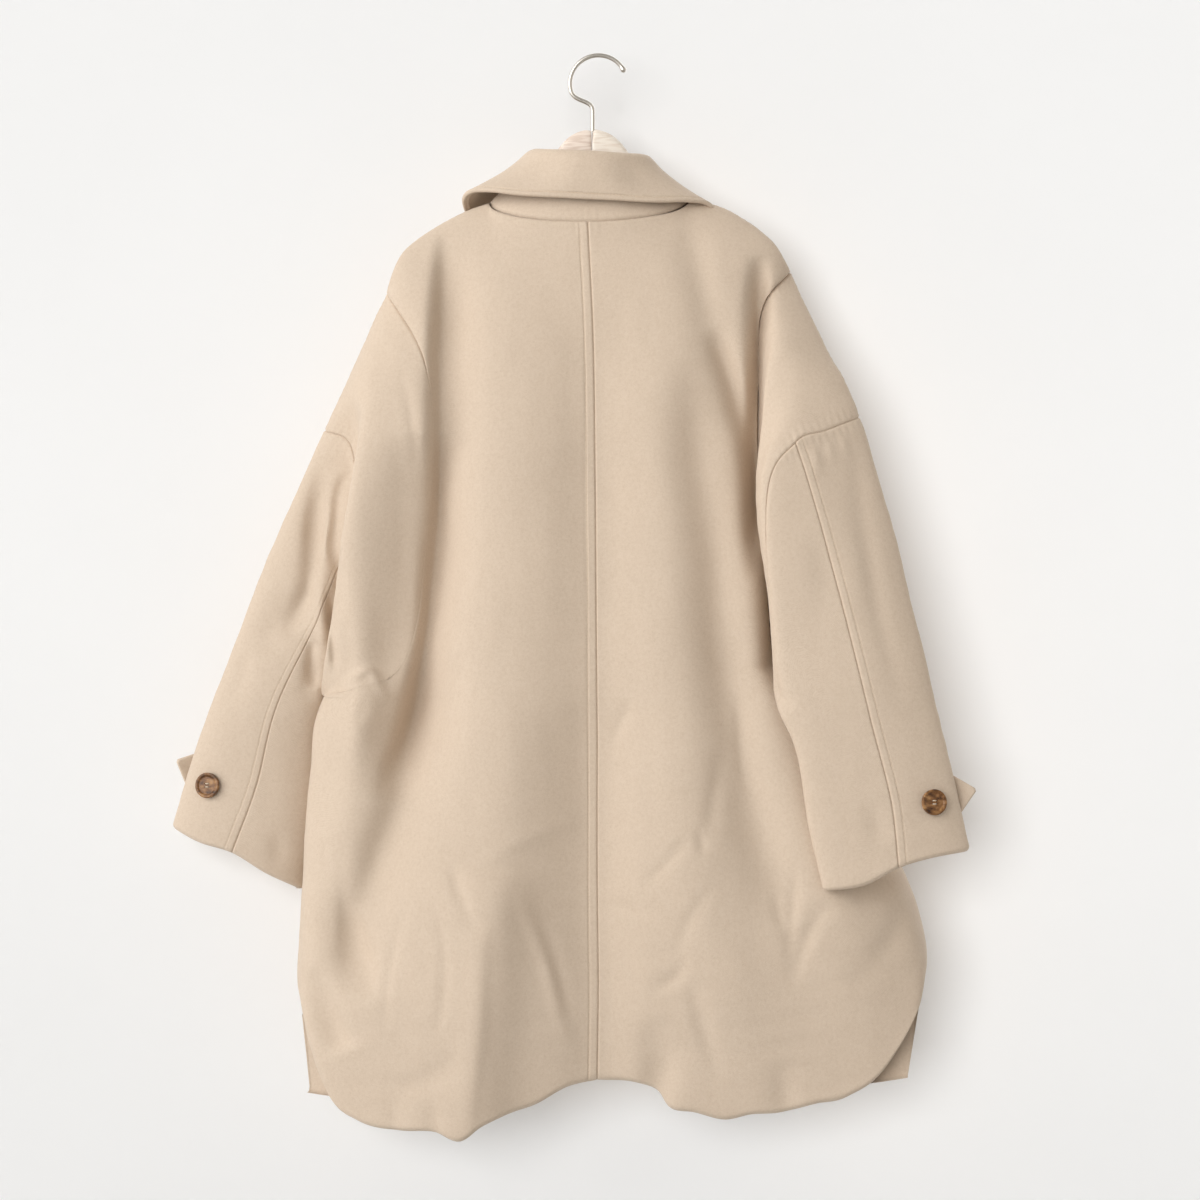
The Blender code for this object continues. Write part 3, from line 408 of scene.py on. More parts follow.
def spaced(fixed, fill, gap):
    # fixed steps stay, and filling steps that would crowd them are left out
    fixed = np.unique(np.round(fixed, 7))
    fill = [step for step in fill if np.abs(fixed - step).min() > gap]
    return np.sort(np.concatenate([fixed, fill]))


nearSeam = np.array([0.0006, 0.0012, 0.0019, 0.0028, 0.0040, 0.0055])
nearStitch = np.array([0.0068, 0.0075, 0.0080, 0.0085, 0.0090, 0.0097, 0.0106])
seamShares = np.concatenate([[0.003, 0.006, 0.010, 0.015, 0.021, 0.028], np.arange(0.036, 0.075, 0.0045)])
backShares = spaced(
    np.concatenate([[0, 0.5, 1], 0.5 - seamShares, 0.5 + seamShares[:6]]),
    shareSteps(coatSleeve["backSteps"]), 0.002)
frontShares = shareSteps(coatSleeve["frontSteps"])


def bodyColumns():
    neck = coatBody["neckShare"] * np.arange(coatBody["neckCols"] + 1) / coatBody["neckCols"]
    rest = np.sin(np.pi / 2 * np.arange(1, coatBody["sideCols"] + 1) / coatBody["sideCols"])
    rest = coatBody["neckShare"] + (1 - coatBody["neckShare"]) * rest
    close = np.concatenate([nearSeam, nearStitch]) / coatBody["width"]
    quarters = neck[::coatBody["neckCols"] // coatBody["neckSteps"]]
    return spaced(np.concatenate([quarters, [1], close]), np.concatenate([neck, rest]), 0.0016)


bodyCols = bodyColumns()
hemSteps = np.array([0, 0.0003, 0.0009, 0.0017, 0.0027, 0.0039, 0.0053, 0.0070])
lowShares = spaced(
    np.concatenate([hemSteps / coatBody["length"], [1]]), np.linspace(0, 1, coatBody["lowRows"] + 1), 0.004)
ventShares = spaced(
    hemSteps / coatBody["ventLength"], np.linspace(0, 1, coatBody["ventRows"] + 1)[:-1], 0.015)


def sleevePoints(side, along, shares, face):
    along, shares = np.atleast_1d(along), np.atleast_1d(shares)
    cells = tableAt(coatSleeve[side], along)
    places = cells[:, :10].reshape(len(along), 5, 2)
    curve = splineThrough(coatSleeve["places"], places.transpose(1, 0, 2), shares).transpose(1, 0, 2)
    yOuter, yUnder, back, front, follow, shift = cells[:, 10:].T[:, :, None]
    yokeBow, armBow = coatSleeve["bow"]
    power = yokeBow + (armBow - yokeBow) * smooth(along)[:, None]
    bow = np.sin(np.pi * np.clip(shares, 0, 1))[None] ** power
    level = yOuter + (yUnder - yOuter) * shares
    if face == "back":
        flat, depth = curve, level - back * bow
        if side == "left":
            hold = smooth((along - coatSleeve["pitStart"]) / coatSleeve["pitFull"])[:, None]
            hold = hold * smooth((1 - shares) / coatSleeve["pitEdge"])
            depth = depth - foldRise(pitFolds, flat[..., 0], flat[..., 1], cloth["pitFade"]) * hold
    else:
        chord = places[:, :1] + (places[:, 4:] - places[:, :1]) * shares[:, None]
        flat = chord + follow[:, :, None] * (curve - chord)
        flat[..., 0] += shift * bow * shares
        depth = level + front * bow
    return np.stack([flat[..., 0], depth, flat[..., 1]], axis=-1)


def patch(left, right, low, high, rows, cols):
    u, w = cols[None, :, None], rows[:, None, None]
    across = (1 - u) * left[:, None] + u * right[:, None]
    ends = (1 - w) * low[None] + w * high[None]
    corners = (1 - w) * ((1 - u) * low[0] + u * low[-1]) + w * ((1 - u) * high[0] + u * high[-1])
    return across + ends - corners


def topEdge(side, face):
    form = coatBody
    neckX, neckZ = form["shoulder"][side][0][1:]
    edge = np.zeros((len(bodyCols), 3))
    turn = np.clip(bodyCols / form["neckShare"], 0, 1)
    steps = form["neckSteps"]
    zMid, xMid, yMid = form["centreBack" if face == "back" else "centreFront"][-1]
    quarter = turn * np.pi / 2
    if face == "front":
        xMid = xMid + sides[side] * form["collarStop"]
        quarter = np.clip((turn * steps - 1) / (steps - 1), 0, 1) * np.pi / 2
    edge[:, 0] = xMid + (neckX - xMid) * np.sin(quarter)
    edge[:, 1] = form["neckY"] + (yMid - form["neckY"]) * np.cos(quarter)
    edge[:, 2] = zMid + (neckZ - zMid) * (1 - np.cos(quarter))
    if face == "front":
        edge[:, 0] -= sides[side] * (form["lap"] + form["collarStop"]) * np.clip(1 - turn * steps, 0, 1)
    out = bodyCols > form["neckShare"]
    share = (bodyCols[out] - form["neckShare"]) / (1 - form["neckShare"])
    line = tableAt(form["shoulder"][side], share)
    edge[out] = np.stack([line[:, 0], form["neckY"] * (1 - share), line[:, 1]], axis=-1)
    return edge


def acrossBlur(values, reach):
    # soft mean over neighbouring columns, narrower towards both edges
    cols = bodyCols
    wide = np.maximum(np.minimum(reach, np.minimum(cols, 1 - cols) * 0.6), 1e-5)
    weight = np.exp(-((cols[None] - cols[:, None]) / wide[:, None]) ** 2) * np.gradient(cols)[None]
    weight /= weight.sum(axis=1, keepdims=True)
    return np.einsum("ij,rj...->ri...", weight, values)


def middleLine(side, face, heights):
    x = tableAt(coatBody["centreBack" if face == "back" else "centreFront"], heights)[:, 0].copy()
    if face == "front":
        x -= sides[side] * coatBody["lap"]
    return np.stack([x, heights], axis=-1)


def bodyPanel(side, face):
    form, cols = coatBody, bodyCols
    line = form["centreBack" if face == "back" else "centreFront"]
    out = -1.0 if face == "back" else 1.0
    seam = tableAt(form["sideSeam"][side], lowShares)
    even = lowShares
    if face == "back":
        hem = tableAt(form["backHem"][side], cols)
    else:
        corner = np.asarray(form["frontCorner"][side])
        seam = np.concatenate([corner + (seam[0] - corner) * ventShares[:, None], seam])
        vent = form["ventShare"]
        even = np.concatenate([ventShares * vent, vent + lowShares * (1 - vent)])
        start = middleLine(side, face, np.array([line[0][0]]))[0]
        hem = start + (corner[[0, 2]] - start) * cols[:, None]
        hem[:, 1] -= form["frontHemDrop"] * np.sin(np.pi * cols)
    low = (seam[:, 2] - seam[0, 2]) / (seam[-1, 2] - seam[0, 2])
    low = even * form["rowEven"] + low * (1 - form["rowEven"])
    pit = middleLine(side, face, np.array([form["pitZ"]]))[0]
    shelf = pit + (seam[-1][[0, 2]] - pit) * cols[:, None]
    centre = middleLine(side, face, hem[0, 1] + (form["pitZ"] - hem[0, 1]) * low)
    skirt = patch(centre, seam[:, [0, 2]], hem, shelf, low, cols)
    shares = (backShares if face == "back" else frontShares)[::-1]
    armhole = sleevePoints(side, 0.0, shares, face)[0]
    edge = topEdge(side, face)
    rise = 1 - shares
    centre = middleLine(side, face, form["pitZ"] + (edge[0, 2] - form["pitZ"]) * rise)
    centre[-1, 0] = edge[0, 0]
    chest = patch(centre, armhole[:, [0, 2]], shelf, edge[:, [0, 2]], rise, cols)
    flat = np.concatenate([skirt, chest[1:]])
    up = np.concatenate([np.zeros(len(skirt)), rise[1:]])
    # columns crowd together at the neck point, so they are spread again below it
    spread = (smooth(up / form["spreadLow"]) * smooth((1 - up) / form["spreadHigh"]))[:, None]
    flat = flat + (acrossBlur(flat, form["neckBlur"]) - flat) * spread[..., None]
    sideY = np.concatenate([seam[:, 1], armhole[1:, 1]])
    ease = smooth(up / form["roundRise"])
    heights = np.concatenate([seam[:, 2], np.full(len(rise) - 1, seam[-1, 2])])
    low = tableAt(form["lowRound"][side], heights)[:, 0]
    power = low + (form["topRound"][side] - low) * ease
    across, dip = np.sqrt(np.clip(1 - cols[None] ** power[:, None], 0, 1)), 0.0
    if face == "front":
        # below the vent the corner lies flat behind the back
        end, fade = form["ventHold"]
        hold = smooth((end * vent - even) / (fade * vent))
        hold = np.concatenate([hold, np.zeros(len(rise) - 1)])[:, None]
        past = np.clip((cols - form["flatFrom"]) / (form["flatFull"] - form["flatFrom"]), 0, 1)
        level = (1 + np.cos(np.pi * past)) / 2
        across = across + (level[None] - across) * hold
        past = np.clip((cols[None] - form["dipFrom"]) / (1 - form["dipFrom"]), 0, 1)
        dip = hold * form["cornerDip"][side] * np.sin(np.pi * past)
    x, z = flat[..., 0], flat[..., 1]
    deep = tableAt(line, z.ravel())[:, 1].reshape(z.shape)
    hold = (1 - cols[None] ** form["edgeHold"]) * (1 - up[:, None] ** form["edgeHold"])
    folds = backFolds if face == "back" else frontFolds
    deep = deep + out * foldRise(folds, x, z, cloth["foldFade"]) * hold
    y = sideY[:, None] + (deep - sideY[:, None]) * across - dip
    crown = np.sqrt(np.clip(1 - up ** form["shoulderRound"], 0, 1))[:, None]
    crown = crown + (1 - crown) * cols[None] ** form["edgeHold"]
    top = edge[None, :, 1] + (acrossBlur(edge[None, :, 1], form["neckBlur"]) - edge[None, :, 1]) * spread
    y = top + (y - top) * crown
    y[-1] = edge[:, 1]
    if face == "front" and side == "right":
        lap = smooth((form["lapFull"] + form["lapFade"] - (x - x[:, :1])) / form["lapFade"])
        y = y + form["lapLift"] * lap
    return np.stack([x, y, z], axis=-1)


yokeRows = np.unique(np.concatenate([
    np.linspace(0, 1, coatSleeve["yokeRows"] + 1), [0.005, 0.012, 0.985, 0.993]]))


def sleevePanels(side):
    name, yoke = side.capitalize(), yokeRows
    arm = np.unique(np.concatenate([
        np.linspace(1, 2, coatSleeve["armRows"] + 1), [1.002, 1.005, 1.985, 1.991, 1.996, 1.999]]))
    backHalf = int(np.searchsorted(backShares, 0.5))
    frontHalf = int(np.searchsorted(frontShares, 0.5))
    back = sleevePoints(side, arm, backShares, "back")
    front = sleevePoints(side, arm, frontShares, "front")
    return {
        "dropShoulderBack" + name: sleevePoints(side, yoke, backShares, "back"),
        "dropShoulderFront" + name: sleevePoints(side, yoke, frontShares, "front"),
        "topSleeve" + name: np.concatenate([back[:, backHalf::-1], front[:, 1:frontHalf + 1]], axis=1),
        "underSleeve" + name: np.concatenate([back[:, backHalf:], front[:, -2:frontHalf - 1:-1]], axis=1),
    }


def collarLines(panels):
    neck, steps = coatBody["neckShare"], coatBody["neckSteps"]
    backNeck = bodyCols <= neck + 1e-6
    frontNeck = backNeck & (bodyCols >= neck / steps - 1e-6)
    base, place = [], []
    for side in sides:
        name = side.capitalize()
        back = panels["back" + name][-1, backNeck]
        front = panels["front" + name][-1, frontNeck][::-1]
        line = np.concatenate([back, front[1:]])
        further = 1 + (neck - bodyCols[frontNeck][::-1]) / (neck * (1 - 1 / steps))
        spot = np.concatenate([bodyCols[backNeck] / neck, further[1:]])
        base.append(line[::-1] if side == "left" else line[1:])
        place.append(-spot[::-1] if side == "left" else spot[1:])
    base, place = np.concatenate(base), np.concatenate(place)
    rows = np.asarray(collar["lines"], float)
    rows = np.concatenate([rows[:0:-1] * (-1, -1, 1, 1, -1, 1, 1), rows])
    cells = tableAt(rows, place)
    lines = []
    for first in (0, 3):
        line = cells[:, first:first + 3].copy()
        line[:, 0] += collar["middle"]
        line[:, 2] += collar["tilt"] * line[:, 0]
        lines.append(line)
    return base, lines[0], lines[1]


def levelWay(fold, edge):
    way = edge - fold
    way[:, 2] = 0
    return unit(way)


def standPanel(lines):
    base, fold, edge = lines
    way = levelWay(fold, edge)
    foot = base + unit(fold - base) * collar["standFoot"]
    rows = []
    for share in np.linspace(0, 1, collar["standRows"] + 1):
        rows.append(foot + (fold - foot) * share - way * collar["standBow"] * math.sin(math.pi * share))
    return np.stack(rows)


def fallPanel(lines):
    base, fold, edge = lines
    rise = unit(fold - base)
    way = levelWay(fold, edge)
    clear = unit(np.cross(np.gradient(fold, axis=0), rise))
    clear = clear * np.sign((clear * way).sum(axis=1, keepdims=True))
    top = rise * (collar["cloth"] + 2 * cloth["seamGap"])
    inside, over = clear * collar["cloth"] * 0.9, clear * collar["cloth"] * 0.3
    rows = [fold - inside + top * 0.95, fold + over + top * 1.1]
    crest = fold + clear * (collar["cloth"] + collar["fallRoll"])
    middle, sideways = collar["fallBow"]
    aside = np.abs(np.linspace(-1, 1, len(fold)))[:, None]
    bow = clear * (middle + (sideways - middle) * smooth((aside - 0.2) / 0.2))
    for share in np.linspace(0, 1, 5):
        rows.append(crest + (edge - crest) * share + bow * math.sin(math.pi * share))
    rows = np.stack(rows)
    keys = np.array([0.0, 0.05, 0.12, 0.34, 0.56, 0.78, 1.0])
    at = np.concatenate([
        np.linspace(0, 0.80, collar["fallRows"]), np.linspace(0.815, 0.95, 12),
        [0.96, 0.97, 0.98, 0.988, 0.995, 1.0]])
    return splineThrough(keys, rows, at)


def gridNormals(grid):
    total = np.zeros_like(grid)
    face = np.cross(grid[1:, 1:] - grid[:-1, :-1], grid[1:, :-1] - grid[:-1, 1:])
    for rows in (slice(0, -1), slice(1, None)):
        for cols in (slice(0, -1), slice(1, None)):
            total[rows, cols] += face
    return unit(total)


def edgeGaps(grid):
    across = np.linalg.norm(np.diff(grid, axis=1), axis=-1)
    down = np.linalg.norm(np.diff(grid, axis=0), axis=-1)
    left = np.concatenate([np.zeros((grid.shape[0], 1)), np.cumsum(across, axis=1)], axis=1)
    low = np.concatenate([np.zeros((1, grid.shape[1])), np.cumsum(down, axis=0)], axis=0)
    return {"left": left, "right": left[:, -1:] - left, "low": low, "high": low[-1:] - low}


# what each edge of a panel is: rows run low to high and columns left to right
panelEdges = {
    "back": {"low": "hem", "high": "seam", "left": "seam", "right": "seam"},
    "front": {"low": "hem", "high": "seam", "left": "frontEdge", "right": "seam"},
    "dropShoulder": {"low": "seam", "high": "seam", "left": "seam", "right": "seam"},
    "topSleeve": {"low": "seam", "high": "cuff", "left": "seam", "right": "seam"},
    "underSleeve": {"low": "seam", "high": "cuff", "left": "seam", "right": "seam"},
    "collarStand": {"low": "seam", "high": "plain", "left": "plain", "right": "plain"},
    "collarFall": {"low": "plain", "high": "round", "left": "round", "right": "round"},
}


def kindOf(name):
    for kind in ("dropShoulder", "topSleeve", "underSleeve", "collarStand", "collarFall", "back", "front"):
        if name.startswith(kind):
            return kind


def facing(name, grid):
    out = -1.0 if name.endswith("Left") else 1.0
    normal = gridNormals(grid)
    if name == "collarStand":
        return 1.0 if normal[:, grid.shape[1] // 2, 1].mean() < 0 else -1.0
    if name == "collarFall":
        return 1.0 if normal[:, grid.shape[1] // 2, 2].mean() > 0 else -1.0
    hints = {
        "back": (0, -1, 0), "front": (0, 1, 0), "topSleeve": (out, 0, 0), "underSleeve": (-out, 0, -0.5),
        "dropShoulder": (0, -1, 0) if "Back" in name else (out, 1, 0),
    }
    return 1.0 if (normal @ np.asarray(hints[kindOf(name)], float)).mean() > 0 else -1.0


def placeKeys(grid):
    return [tuple(p) for p in np.round(grid.reshape(-1, 3) * 1e5).astype(int)]


def sharedNormals(panels, turns):
    normals = {name: gridNormals(grid) * turns[name] for name, grid in panels.items()}
    meeting, borders = {}, {}
    for name, grid in panels.items():
        border = np.zeros(grid.shape[:2], bool)
        border[[0, -1]] = True
        border[:, [0, -1]] = True
        borders[name] = border
        for key, normal in zip(placeKeys(grid[border]), normals[name][border]):
            meeting[key] = meeting.get(key, 0) + normal
    for name, grid in panels.items():
        border = borders[name]
        normals[name][border] = unit(np.array([meeting[key] for key in placeKeys(grid[border])]))
    return normals


# sewn line of a panel: from which edge, how far from it, how deep it draws in
stitchLines = {
    "backLeft": ("left", 0.0085, 0.0006), "topSleeveLeft": ("left", 0.0080, 0.0004),
    "topSleeveRight": ("left", 0.0080, 0.0004), "collarFall": ("high", 0.0055, 0.0011),
}

# seam that lies hidden in the left valley
plainSeams = {"backLeft": "right", "dropShoulderBackLeft": "low"}


def dressPanel(name, grid, normal):
    kind = kindOf(name)
    gaps = edgeGaps(grid)
    edges = panelEdges[kind]
    x, z = grid[..., 0], grid[..., 2]
    towards = smooth((-normal[..., 1] - 0.02) / 0.4)
    group = "back"
    if kind in ("topSleeve", "underSleeve"):
        group = "sleeve" + ("Left" if name.endswith("Left") else "Right")
    if kind == "front" or "Front" in name:
        group = "front"
        towards = 1 - smooth((-normal[..., 1] + 0.5) / 0.4)
    rise = np.zeros(x.shape)
    if not kind.startswith("collar"):
        rise += foldRise(creases[group], x, z, cloth["creaseFade"]) * towards
        rise += cloth["puff"] * softNoise(grid, cloth["puffSize"], 4)
    crumple = cloth["crumple"] * (cloth["collarCrumple"] if kind.startswith("collar") else 1.0)
    rise += crumple * softNoise(grid, cloth["crumpleSize"], 9)
    if kind in ("topSleeve", "underSleeve", "dropShoulder"):
        rise *= smooth(gaps["high" if kind == "dropShoulder" else "low"] / cloth["armEase"])
    # sewn edges sink a little and pucker
    run = {"left": gaps["low"], "right": gaps["low"], "low": gaps["left"], "high": gaps["left"]}
    for edge, what in edges.items():
        if what != "seam":
            continue
        gap = gaps[edge]
        shows = 1.0
        if plainSeams.get(name) == edge:
            shows = smooth((z - cloth["seamShows"]) / cloth["seamFade"])
        rise -= cloth["seamDip"] * np.exp(-(gap / cloth["seamWidth"]) ** 2) * shows
        drift = 1.7 * np.sin(run[edge] / cloth["puckerDrift"])
        wave = np.sin(run[edge] / cloth["puckerStep"] * 2 * np.pi + drift)
        near = np.exp(-(gap / cloth["puckerReach"]) ** 2) * smooth(gap / cloth["puckerClear"])
        rise += cloth["pucker"] * wave * near * shows
    if name in stitchLines:
        edge, away, dip = stitchLines[name]
        gap = gaps[edge]
        rise -= dip * np.exp(-((gap - away) / cloth["stitchWidth"]) ** 2)
        if edge == "left":
            welt = smooth(gap / cloth["weltStart"]) * smooth((away - gap) / cloth["weltEnd"])
            rise += cloth["welt"] * welt
    rolls = {
        "hem": coatBody["hemRoll"], "cuff": coatSleeve["cuffRoll"], "frontEdge": coatBody["frontEdgeRoll"],
    }
    for edge, what in edges.items():
        if what in rolls:
            radius = rolls[what]
            inside = np.clip(1 - gaps[edge] / radius, 0, 1)
            rise -= radius * (1 - np.sqrt(np.clip(1 - inside ** 2, 0, 1)))
    way = normal
    if kind in ("back", "front"):
        share = smooth(1 - gaps["low"] / cloth["hemEase"])[..., None]
        way = unit(normal + (acrossBlur(normal, coatBody["hemBlur"]) - normal) * share)
    return grid + way * rise[..., None], gaps


def clothShell(name, grid, normal, turn, gaps, edges, thick):
    # outer and inner face, closed by a rim, or drawn together on a rounded edge
    rows, cols = grid.shape[:2]
    count = rows * cols
    wall = np.full((rows, cols), thick)
    rounded = [edge for edge, what in edges.items() if what == "round"]
    if rounded:
        near = np.min([gaps[edge] for edge in rounded], axis=0)
        radius = collar["edgeThick"] / 2
        swell = smooth(1 - near / collar["edgeSwell"])
        full = thick + (collar["edgeThick"] - thick) * swell
        wall = full * np.sqrt(np.clip(1 - np.clip(1 - near / radius, 0, 1) ** 2, 0, 1))
        outer = grid - normal * ((full - wall) / 2)[..., None]
        inner = grid - normal * ((full + wall) / 2)[..., None]
    else:
        outer, inner = grid, grid - normal * wall[..., None]
    number = np.arange(count).reshape(rows, cols)
    under = number + count
    whole = slice(None)
    slices = {"low": (0, whole), "high": (-1, whole), "left": (whole, 0), "right": (whole, -1)}
    for edge in rounded:
        under[slices[edge]] = number[slices[edge]]
    a, b, c, d = number[:-1, :-1], number[:-1, 1:], number[1:, 1:], number[1:, :-1]
    front = np.stack([a, b, c, d], axis=-1).reshape(-1, 4)
    a, b, c, d = under[:-1, :-1], under[1:, :-1], under[1:, 1:], under[:-1, 1:]
    behind = np.stack([a, b, c, d], axis=-1).reshape(-1, 4)
    faces = [front, behind]
    rims = {
        "low": (number[0], under[0]), "right": (number[:, -1], under[:, -1]),
        "high": (number[-1, ::-1], under[-1, ::-1]), "left": (number[::-1, 0], under[::-1, 0]),
    }
    rimStarts = {}
    for edge, (over, below) in rims.items():
        if edge not in rounded:
            rimStarts[edge] = sum(map(len, faces))
            faces.append(np.stack([over[1:], over[:-1], below[:-1], below[1:]], axis=-1))
    faces = np.concatenate(faces)
    if turn < 0:
        faces = faces[:, ::-1]
    points = np.concatenate([outer.reshape(-1, 3), inner.reshape(-1, 3)])
    used = np.unique(faces)
    renumber = np.zeros(len(points), int)
    renumber[used] = np.arange(len(used))
    mesh = bpy.data.meshes.new(name + "Cloth")
    mesh.from_pydata(points[used].tolist(), [], renumber[faces].tolist())
    lay = np.stack([gaps["left"].ravel(), gaps["low"].ravel()], axis=-1)
    lay = np.concatenate([lay, lay])[used]
    corner = np.zeros(len(mesh.loops), int)
    mesh.loops.foreach_get("vertex_index", corner)
    weave = mesh.uv_layers.new(name="weave")
    weave.data.foreach_set("uv", lay[corner].ravel())
    soft = np.ones(len(faces), bool)
    for edge, start in rimStarts.items():
        if edge == plainSeams.get(name):
            soft[start:start + (cols if edge in ("low", "high") else rows) - 1] = False
    mesh.polygons.foreach_set("use_smooth", soft)
    mesh.update()
    mesh.validate()
    return newItem(mesh.name, mesh)


armholeEnd = {
    "start": 0.62, "full": 0.74, "reach": 0.030, "cell": 0.003, "blur": 0.016, "hold": 0.012,
    "low": (-0.32, -0.70), "high": (-0.12, -0.44), "pit": (-0.259, -0.607), "pitFade": 0.030,
    "leftFade": 0.3, "rightEnd": 0.45, "rightFade": 0.25, "lineSteps": 90,
}


def awayFromSides(name, grid):
    # 0 on the seams that stay where they are
    pit = smooth(np.linalg.norm(grid[..., [0, 2]] - armholeEnd["pit"], axis=-1) / armholeEnd["pitFade"])
    if name == "backLeft":
        below = (np.arange(len(grid)) < len(lowShares))[:, None]
        return pit * smooth(np.where(below, edgeGaps(grid)["right"], 1.0) / armholeEnd["hold"])
    if name == "dropShoulderBackLeft":
        return pit * smooth((1 - yokeRows[:, None]) / armholeEnd["leftFade"])
    if name == "dropShoulderBackRight":
        return smooth((armholeEnd["rightEnd"] - yokeRows[:, None]) / armholeEnd["rightFade"])
    return np.ones(grid.shape[:2])


def cutArmFolds(panels):
    # one fold runs over both panels that meet
    for hand, rows in armFolds.items():
        for name in ("back" + hand, "dropShoulderBack" + hand):
            grid = panels[name]
            rise = foldRise(rows, grid[..., 0], grid[..., 2], cloth["foldFade"])
            grid[..., 1] -= rise * awayFromSides(name, grid)


def easeArmhole(panels):
    # the cloth runs on smoothly over the lower end of the left armhole seam
    form, names = armholeEnd, ("backLeft", "dropShoulderBackLeft")
    low, high = np.array(form["low"]), np.array(form["high"])
    size = np.ceil((high - low) / form["cell"]).astype(int)
    total, count = np.zeros(size), np.zeros(size)
    for name in names:
        points = panels[name].reshape(-1, 3)
        cell = np.floor((points[:, [0, 2]] - low) / form["cell"]).astype(int)
        inside = ((cell >= 0) & (cell < size)).all(axis=1)
        np.add.at(total, tuple(cell[inside].T), points[inside, 1])
        np.add.at(count, tuple(cell[inside].T), 1)
    known = (count > 0).astype(float)
    level = total / np.maximum(count, 1)
    blurs = []
    for cells in size:
        step = (np.arange(cells)[:, None] - np.arange(cells)[None]) * form["cell"] / form["blur"]
        blurs.append(np.exp(-step ** 2))
    level = (blurs[0] @ (level * known) @ blurs[1]) / np.maximum(blurs[0] @ known @ blurs[1], 1e-9)
    shares = np.linspace(form["start"], 1, form["lineSteps"])
    line = sleevePoints("left", 0.0, shares, "back")[0][:, [0, 2]]
    full = smooth((shares - form["start"]) / (form["full"] - form["start"]))
    for name in names:
        grid = panels[name]
        spot = np.clip((grid[..., [0, 2]] - low) / form["cell"] - 0.5, 0, size - 1.001)
        i, j = np.floor(spot).astype(int).transpose(2, 0, 1)
        a, b = (spot - np.floor(spot)).transpose(2, 0, 1)
        soft = (level[i, j] * (1 - a) * (1 - b) + level[i + 1, j] * a * (1 - b)
                + level[i, j + 1] * (1 - a) * b + level[i + 1, j + 1] * a * b)
        gap = np.linalg.norm(grid[..., None, [0, 2]] - line, axis=-1)
        share = np.exp(-(gap.min(axis=-1) / form["reach"]) ** 2) * full[gap.argmin(axis=-1)]
        grid[..., 1] += (soft - grid[..., 1]) * share * awayFromSides(name, grid)


nodeNames = {
    "back": "back", "front": "front", "dropShoulderBack": "drop_shoulder_back",
    "dropShoulderFront": "drop_shoulder_front", "topSleeve": "top_sleeve", "underSleeve": "under_sleeve",
    "collarStand": "collar_stand", "collarFall": "collar_fall",
}


def nodeFor(name):
    for hand in ("Left", "Right"):
        if name.endswith(hand):
            return nodeNames[name[:-len(hand)]] + "_" + hand.lower()
    return nodeNames[name]


def makeCoat():
    panels = {}
    for side in sides:
        for face in ("back", "front"):
            panels[face + side.capitalize()] = bodyPanel(side, face)
    lines = collarLines(panels)
    for side in sides:
        panels.update(sleevePanels(side))
    easeArmhole(panels)
    cutArmFolds(panels)
    panels["collarStand"] = standPanel(lines)
    turns = {name: facing(name, grid) for name, grid in panels.items()}
    normals = sharedNormals(panels, turns)
    fall = fallPanel(lines)
    panels["collarFall"] = fall
    turns["collarFall"] = facing("collarFall", fall)
    normals["collarFall"] = gridNormals(fall) * turns["collarFall"]
    made, dressed = {}, {}
    for name, grid in panels.items():
        shaped, gaps = dressPanel(name, grid, normals[name])
        dressed[name] = (shaped, normals[name], gaps)
        edges = panelEdges[kindOf(name)]
        made[name] = clothShell(name, shaped, normals[name], turns[name], gaps, edges, cloth["wall"])
    return made, dressed


coatPieces, dressed = makeCoat()
print("coat done,", len(coatPieces), "panels")

# stitching
stitch = {"length": 0.0026, "step": 0.0032, "thick": 0.00055, "sink": 0.35, "ahead": 0.0005}


def stitchTemplate():
    clearPick()
    bpy.ops.mesh.primitive_uv_sphere_add(segments=8, ring_count=6, radius=0.5)
    item = bpy.context.active_object
    points = np.array([v.co[:] for v in item.data.vertices])[:, [2, 0, 1]]
    faces = [tuple(f.vertices) for f in item.data.polygons]
    mesh = item.data
    bpy.data.objects.remove(item)
    bpy.data.meshes.remove(mesh)
    return points * np.array([stitch["length"], stitch["thick"], stitch["thick"]]), faces


stitchPoints, stitchFaces = stitchTemplate()


def stitchRun(name, path, normal):
    length = np.concatenate([[0], np.cumsum(np.linalg.norm(np.diff(path, axis=0), axis=1))])
    spots = np.arange(stitch["step"], length[-1] - stitch["step"], stitch["step"])
    at = np.stack([np.interp(spots, length, path[:, i]) for i in range(3)], axis=-1)
    up = unit(np.stack([np.interp(spots, length, normal[:, i]) for i in range(3)], axis=-1))
    ahead = np.stack([np.interp(spots + stitch["ahead"], length, path[:, i]) for i in range(3)], axis=-1)
    way = unit(ahead - at)
    acrossWay = np.cross(up, way)
    at = at + up * stitch["thick"] * (0.5 - stitch["sink"])
    points, faces = [], []
    for i in range(len(spots)):
        turn = np.stack([way[i], acrossWay[i], up[i]])
        points.append(stitchPoints @ turn + at[i])
        faces += [tuple(v + i * len(stitchPoints) for v in f) for f in stitchFaces]
    mesh = bpy.data.meshes.new(name)
    mesh.from_pydata(np.concatenate(points).tolist(), [], faces)
    mesh.polygons.foreach_set("use_smooth", np.ones(len(mesh.polygons), bool))
    mesh.update()
    return newItem(name, mesh)


